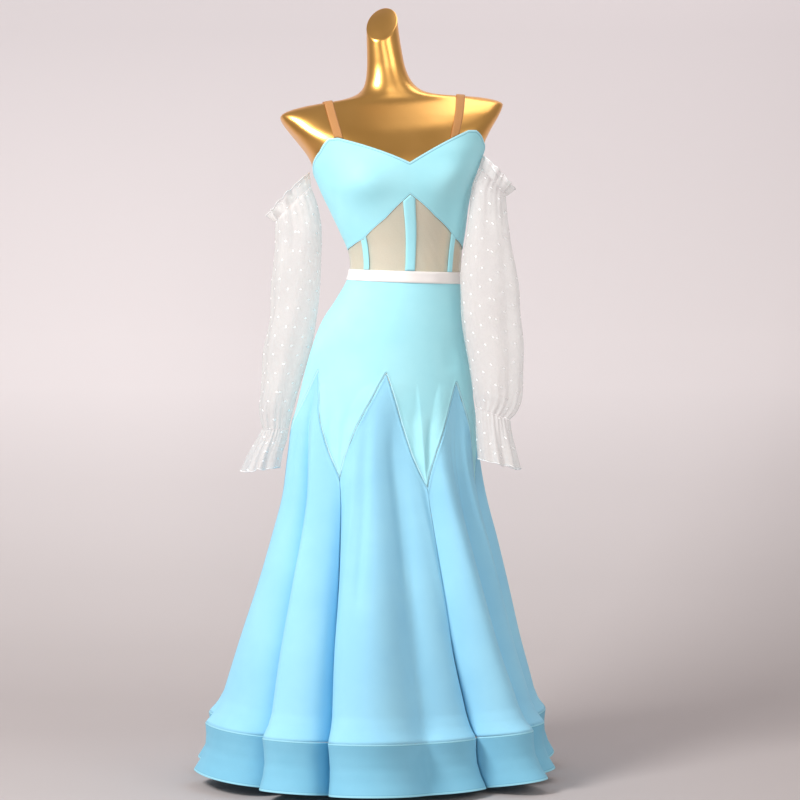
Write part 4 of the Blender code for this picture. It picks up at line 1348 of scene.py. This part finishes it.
# %% Sleeves, cuffs and frills
def edge_roll(name, surface, height, radius, columns=240):
    """The rolled hem of a tube's edge: a fine cord of cloth round it."""
    ring = [surface(angle, height) for angle in spread(0, 360, columns)]
    bm = bmesh.new()
    flat_map = bm.loops.layers.uv.new("cloth")
    bmesh.ops.create_grid(bm, x_segments=columns, y_segments=8, size=0.5)
    cell = {vert: (round((vert.co.x + 0.5) * columns), round((vert.co.y + 0.5) * 8)) for vert in bm.verts}
    walked = [0.0]
    for first, second in zip(ring, ring[1:]):
        walked.append(walked[-1] + (second - first).length)
    for vert, (i, j) in cell.items():
        ahead = ring[(i + 1) % columns] - ring[(i - 1) % columns]
        side = ahead.cross(Vector((0, 0, 1))).normalized()
        up = side.cross(ahead).normalized()
        turn = math.tau * j / 8
        vert.co = ring[i % columns] + (side * math.cos(turn) + up * math.sin(turn)) * radius
    for face in bm.faces:
        face.smooth = True
        for loop in face.loops:
            i, j = cell[loop.vert]
            loop[flat_map].uv = (walked[i], j * radius * 0.8)
    bmesh.ops.remove_doubles(bm, verts=bm.verts, dist=0.00001)
    bmesh.ops.recalc_face_normals(bm, faces=bm.faces)
    roll = add_piece(name, bm, edge_organza)
    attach(roll, "root")
    return roll


for side, body_side, sleeve_mm, cuff_mm, frill_mm in (
        ("left", 1, SLEEVE_LEFT_MM, CUFF_LEFT_MM, FRILL_LEFT_MM),
        ("right", -1, SLEEVE_RIGHT_MM, CUFF_RIGHT_MM, FRILL_RIGHT_MM)):
    for kind, table, wave_at, columns, rows in (("sleeve", sleeve_mm, sleeve_wave, 240, 150),
                                                ("cuff", cuff_mm, cuff_wave, 240, 26),
                                                ("frill", frill_mm, frill_wave, 240, 10)):
        surface, low, high = tube_surface(table, body_side, wave_at)
        tube = cloth_panel("%s_%s_organza" % (kind, side), spread(0, 360, columns), spread(0, 1, rows),
                           between(lambda angle: low, lambda angle: high), surface, sleeve_organza,
                           closed=True)
        stand_for(tube, "%s_%s" % (kind, side))
        if kind != "sleeve":
            edge_roll("%s_%s_rolled_edge" % (kind, side), surface, low if kind == "cuff" else high, 0.0009)

# %% [markdown]
# ## The flat cuts
# Every piece above is a sheet that was cut flat before it was sewn and hung. The table gives the box
# round each cut and its area; a godet's cut is a wedge, a bodice panel's is much smaller than its box.

# %% The flat cut of every sheet: piece, width, length, area, how it is held, what it rests on
CUTS = (
    ("bodice_front_cloth", 0.48, 0.21, 0.063, "stretched", "form_body"),
    ("bodice_back_cloth", 0.45, 0.19, 0.053, "stretched", "form_body"),
    ("midriff_front_net", 0.385, 0.153, 0.028, "stretched", "form_body"),
    ("midriff_back_net", 0.32, 0.054, 0.015, "stretched", "form_body"),
    ("bone_left_casing", 0.017, 0.062, 0.0009, "laid", "midriff_front_net"),
    ("bone_centre_casing", 0.030, 0.142, 0.0030, "laid", "midriff_front_net"),
    ("bone_right_casing", 0.018, 0.072, 0.0011, "laid", "midriff_front_net"),
    ("belt_satin", 0.636, 0.023, 0.0145, "stretched", "yoke_front_cloth"),
    ("yoke_front_cloth", 0.42, 0.408, 0.111, "hung", "bodice_front_cloth"),
    ("yoke_back_cloth", 0.44, 0.408, 0.132, "hung", "bodice_back_cloth"),
    ("godet_1_cloth", 0.53, 0.685, 0.188, "hung", "yoke_front_cloth"),
    ("godet_2_cloth", 0.44, 0.685, 0.155, "hung", "yoke_front_cloth"),
    ("godet_3_cloth", 0.415, 0.660, 0.132, "hung", "yoke_front_cloth"),
    ("godet_4_cloth", 0.46, 0.655, 0.168, "hung", "yoke_back_cloth"),
    ("godet_5_cloth", 0.45, 0.670, 0.174, "hung", "yoke_back_cloth"),
    ("godet_6_cloth", 0.45, 0.681, 0.170, "hung", "yoke_back_cloth"),
    ("hem_band_1_cloth", 0.60, 0.096, 0.052, "hung", "godet_1_cloth"),
    ("hem_band_2_cloth", 0.45, 0.096, 0.040, "hung", "godet_2_cloth"),
    ("hem_band_3_cloth", 0.372, 0.096, 0.033, "hung", "godet_3_cloth"),
    ("hem_band_4_cloth", 0.503, 0.096, 0.045, "hung", "godet_4_cloth"),
    ("hem_band_5_cloth", 0.486, 0.096, 0.0435, "hung", "godet_5_cloth"),
    ("hem_band_6_cloth", 0.495, 0.096, 0.044, "hung", "godet_6_cloth"),
    ("strap_left_elastic", 0.017, 0.330, 0.0056, "stretched", "form_body"),
    ("strap_right_elastic", 0.017, 0.350, 0.0059, "stretched", "form_body"),
    ("sleeve_left_organza", 0.280, 0.475, 0.109, "gathered", "bodice_back_cloth"),
    ("sleeve_right_organza", 0.300, 0.470, 0.118, "gathered", "bodice_front_cloth"),
    ("cuff_left_organza", 0.290, 0.090, 0.0172, "gathered", "sleeve_left_organza"),
    ("cuff_right_organza", 0.295, 0.098, 0.0213, "gathered", "sleeve_right_organza"),
    ("frill_left_organza", 0.340, 0.027, 0.0064, "gathered", "sleeve_left_organza"),
    ("frill_right_organza", 0.305, 0.026, 0.0056, "gathered", "sleeve_right_organza"),
)
for name, width, length, area, held, carrier in CUTS:
    edge_name = name.replace("organza", "rolled_edge")
    edges = [bpy.data.objects[edge_name]] if name != edge_name and edge_name in bpy.data.objects else []
    print("%-22s cut area %.4f  sewn area %.4f" % (name, area, PANELS[name][2]))
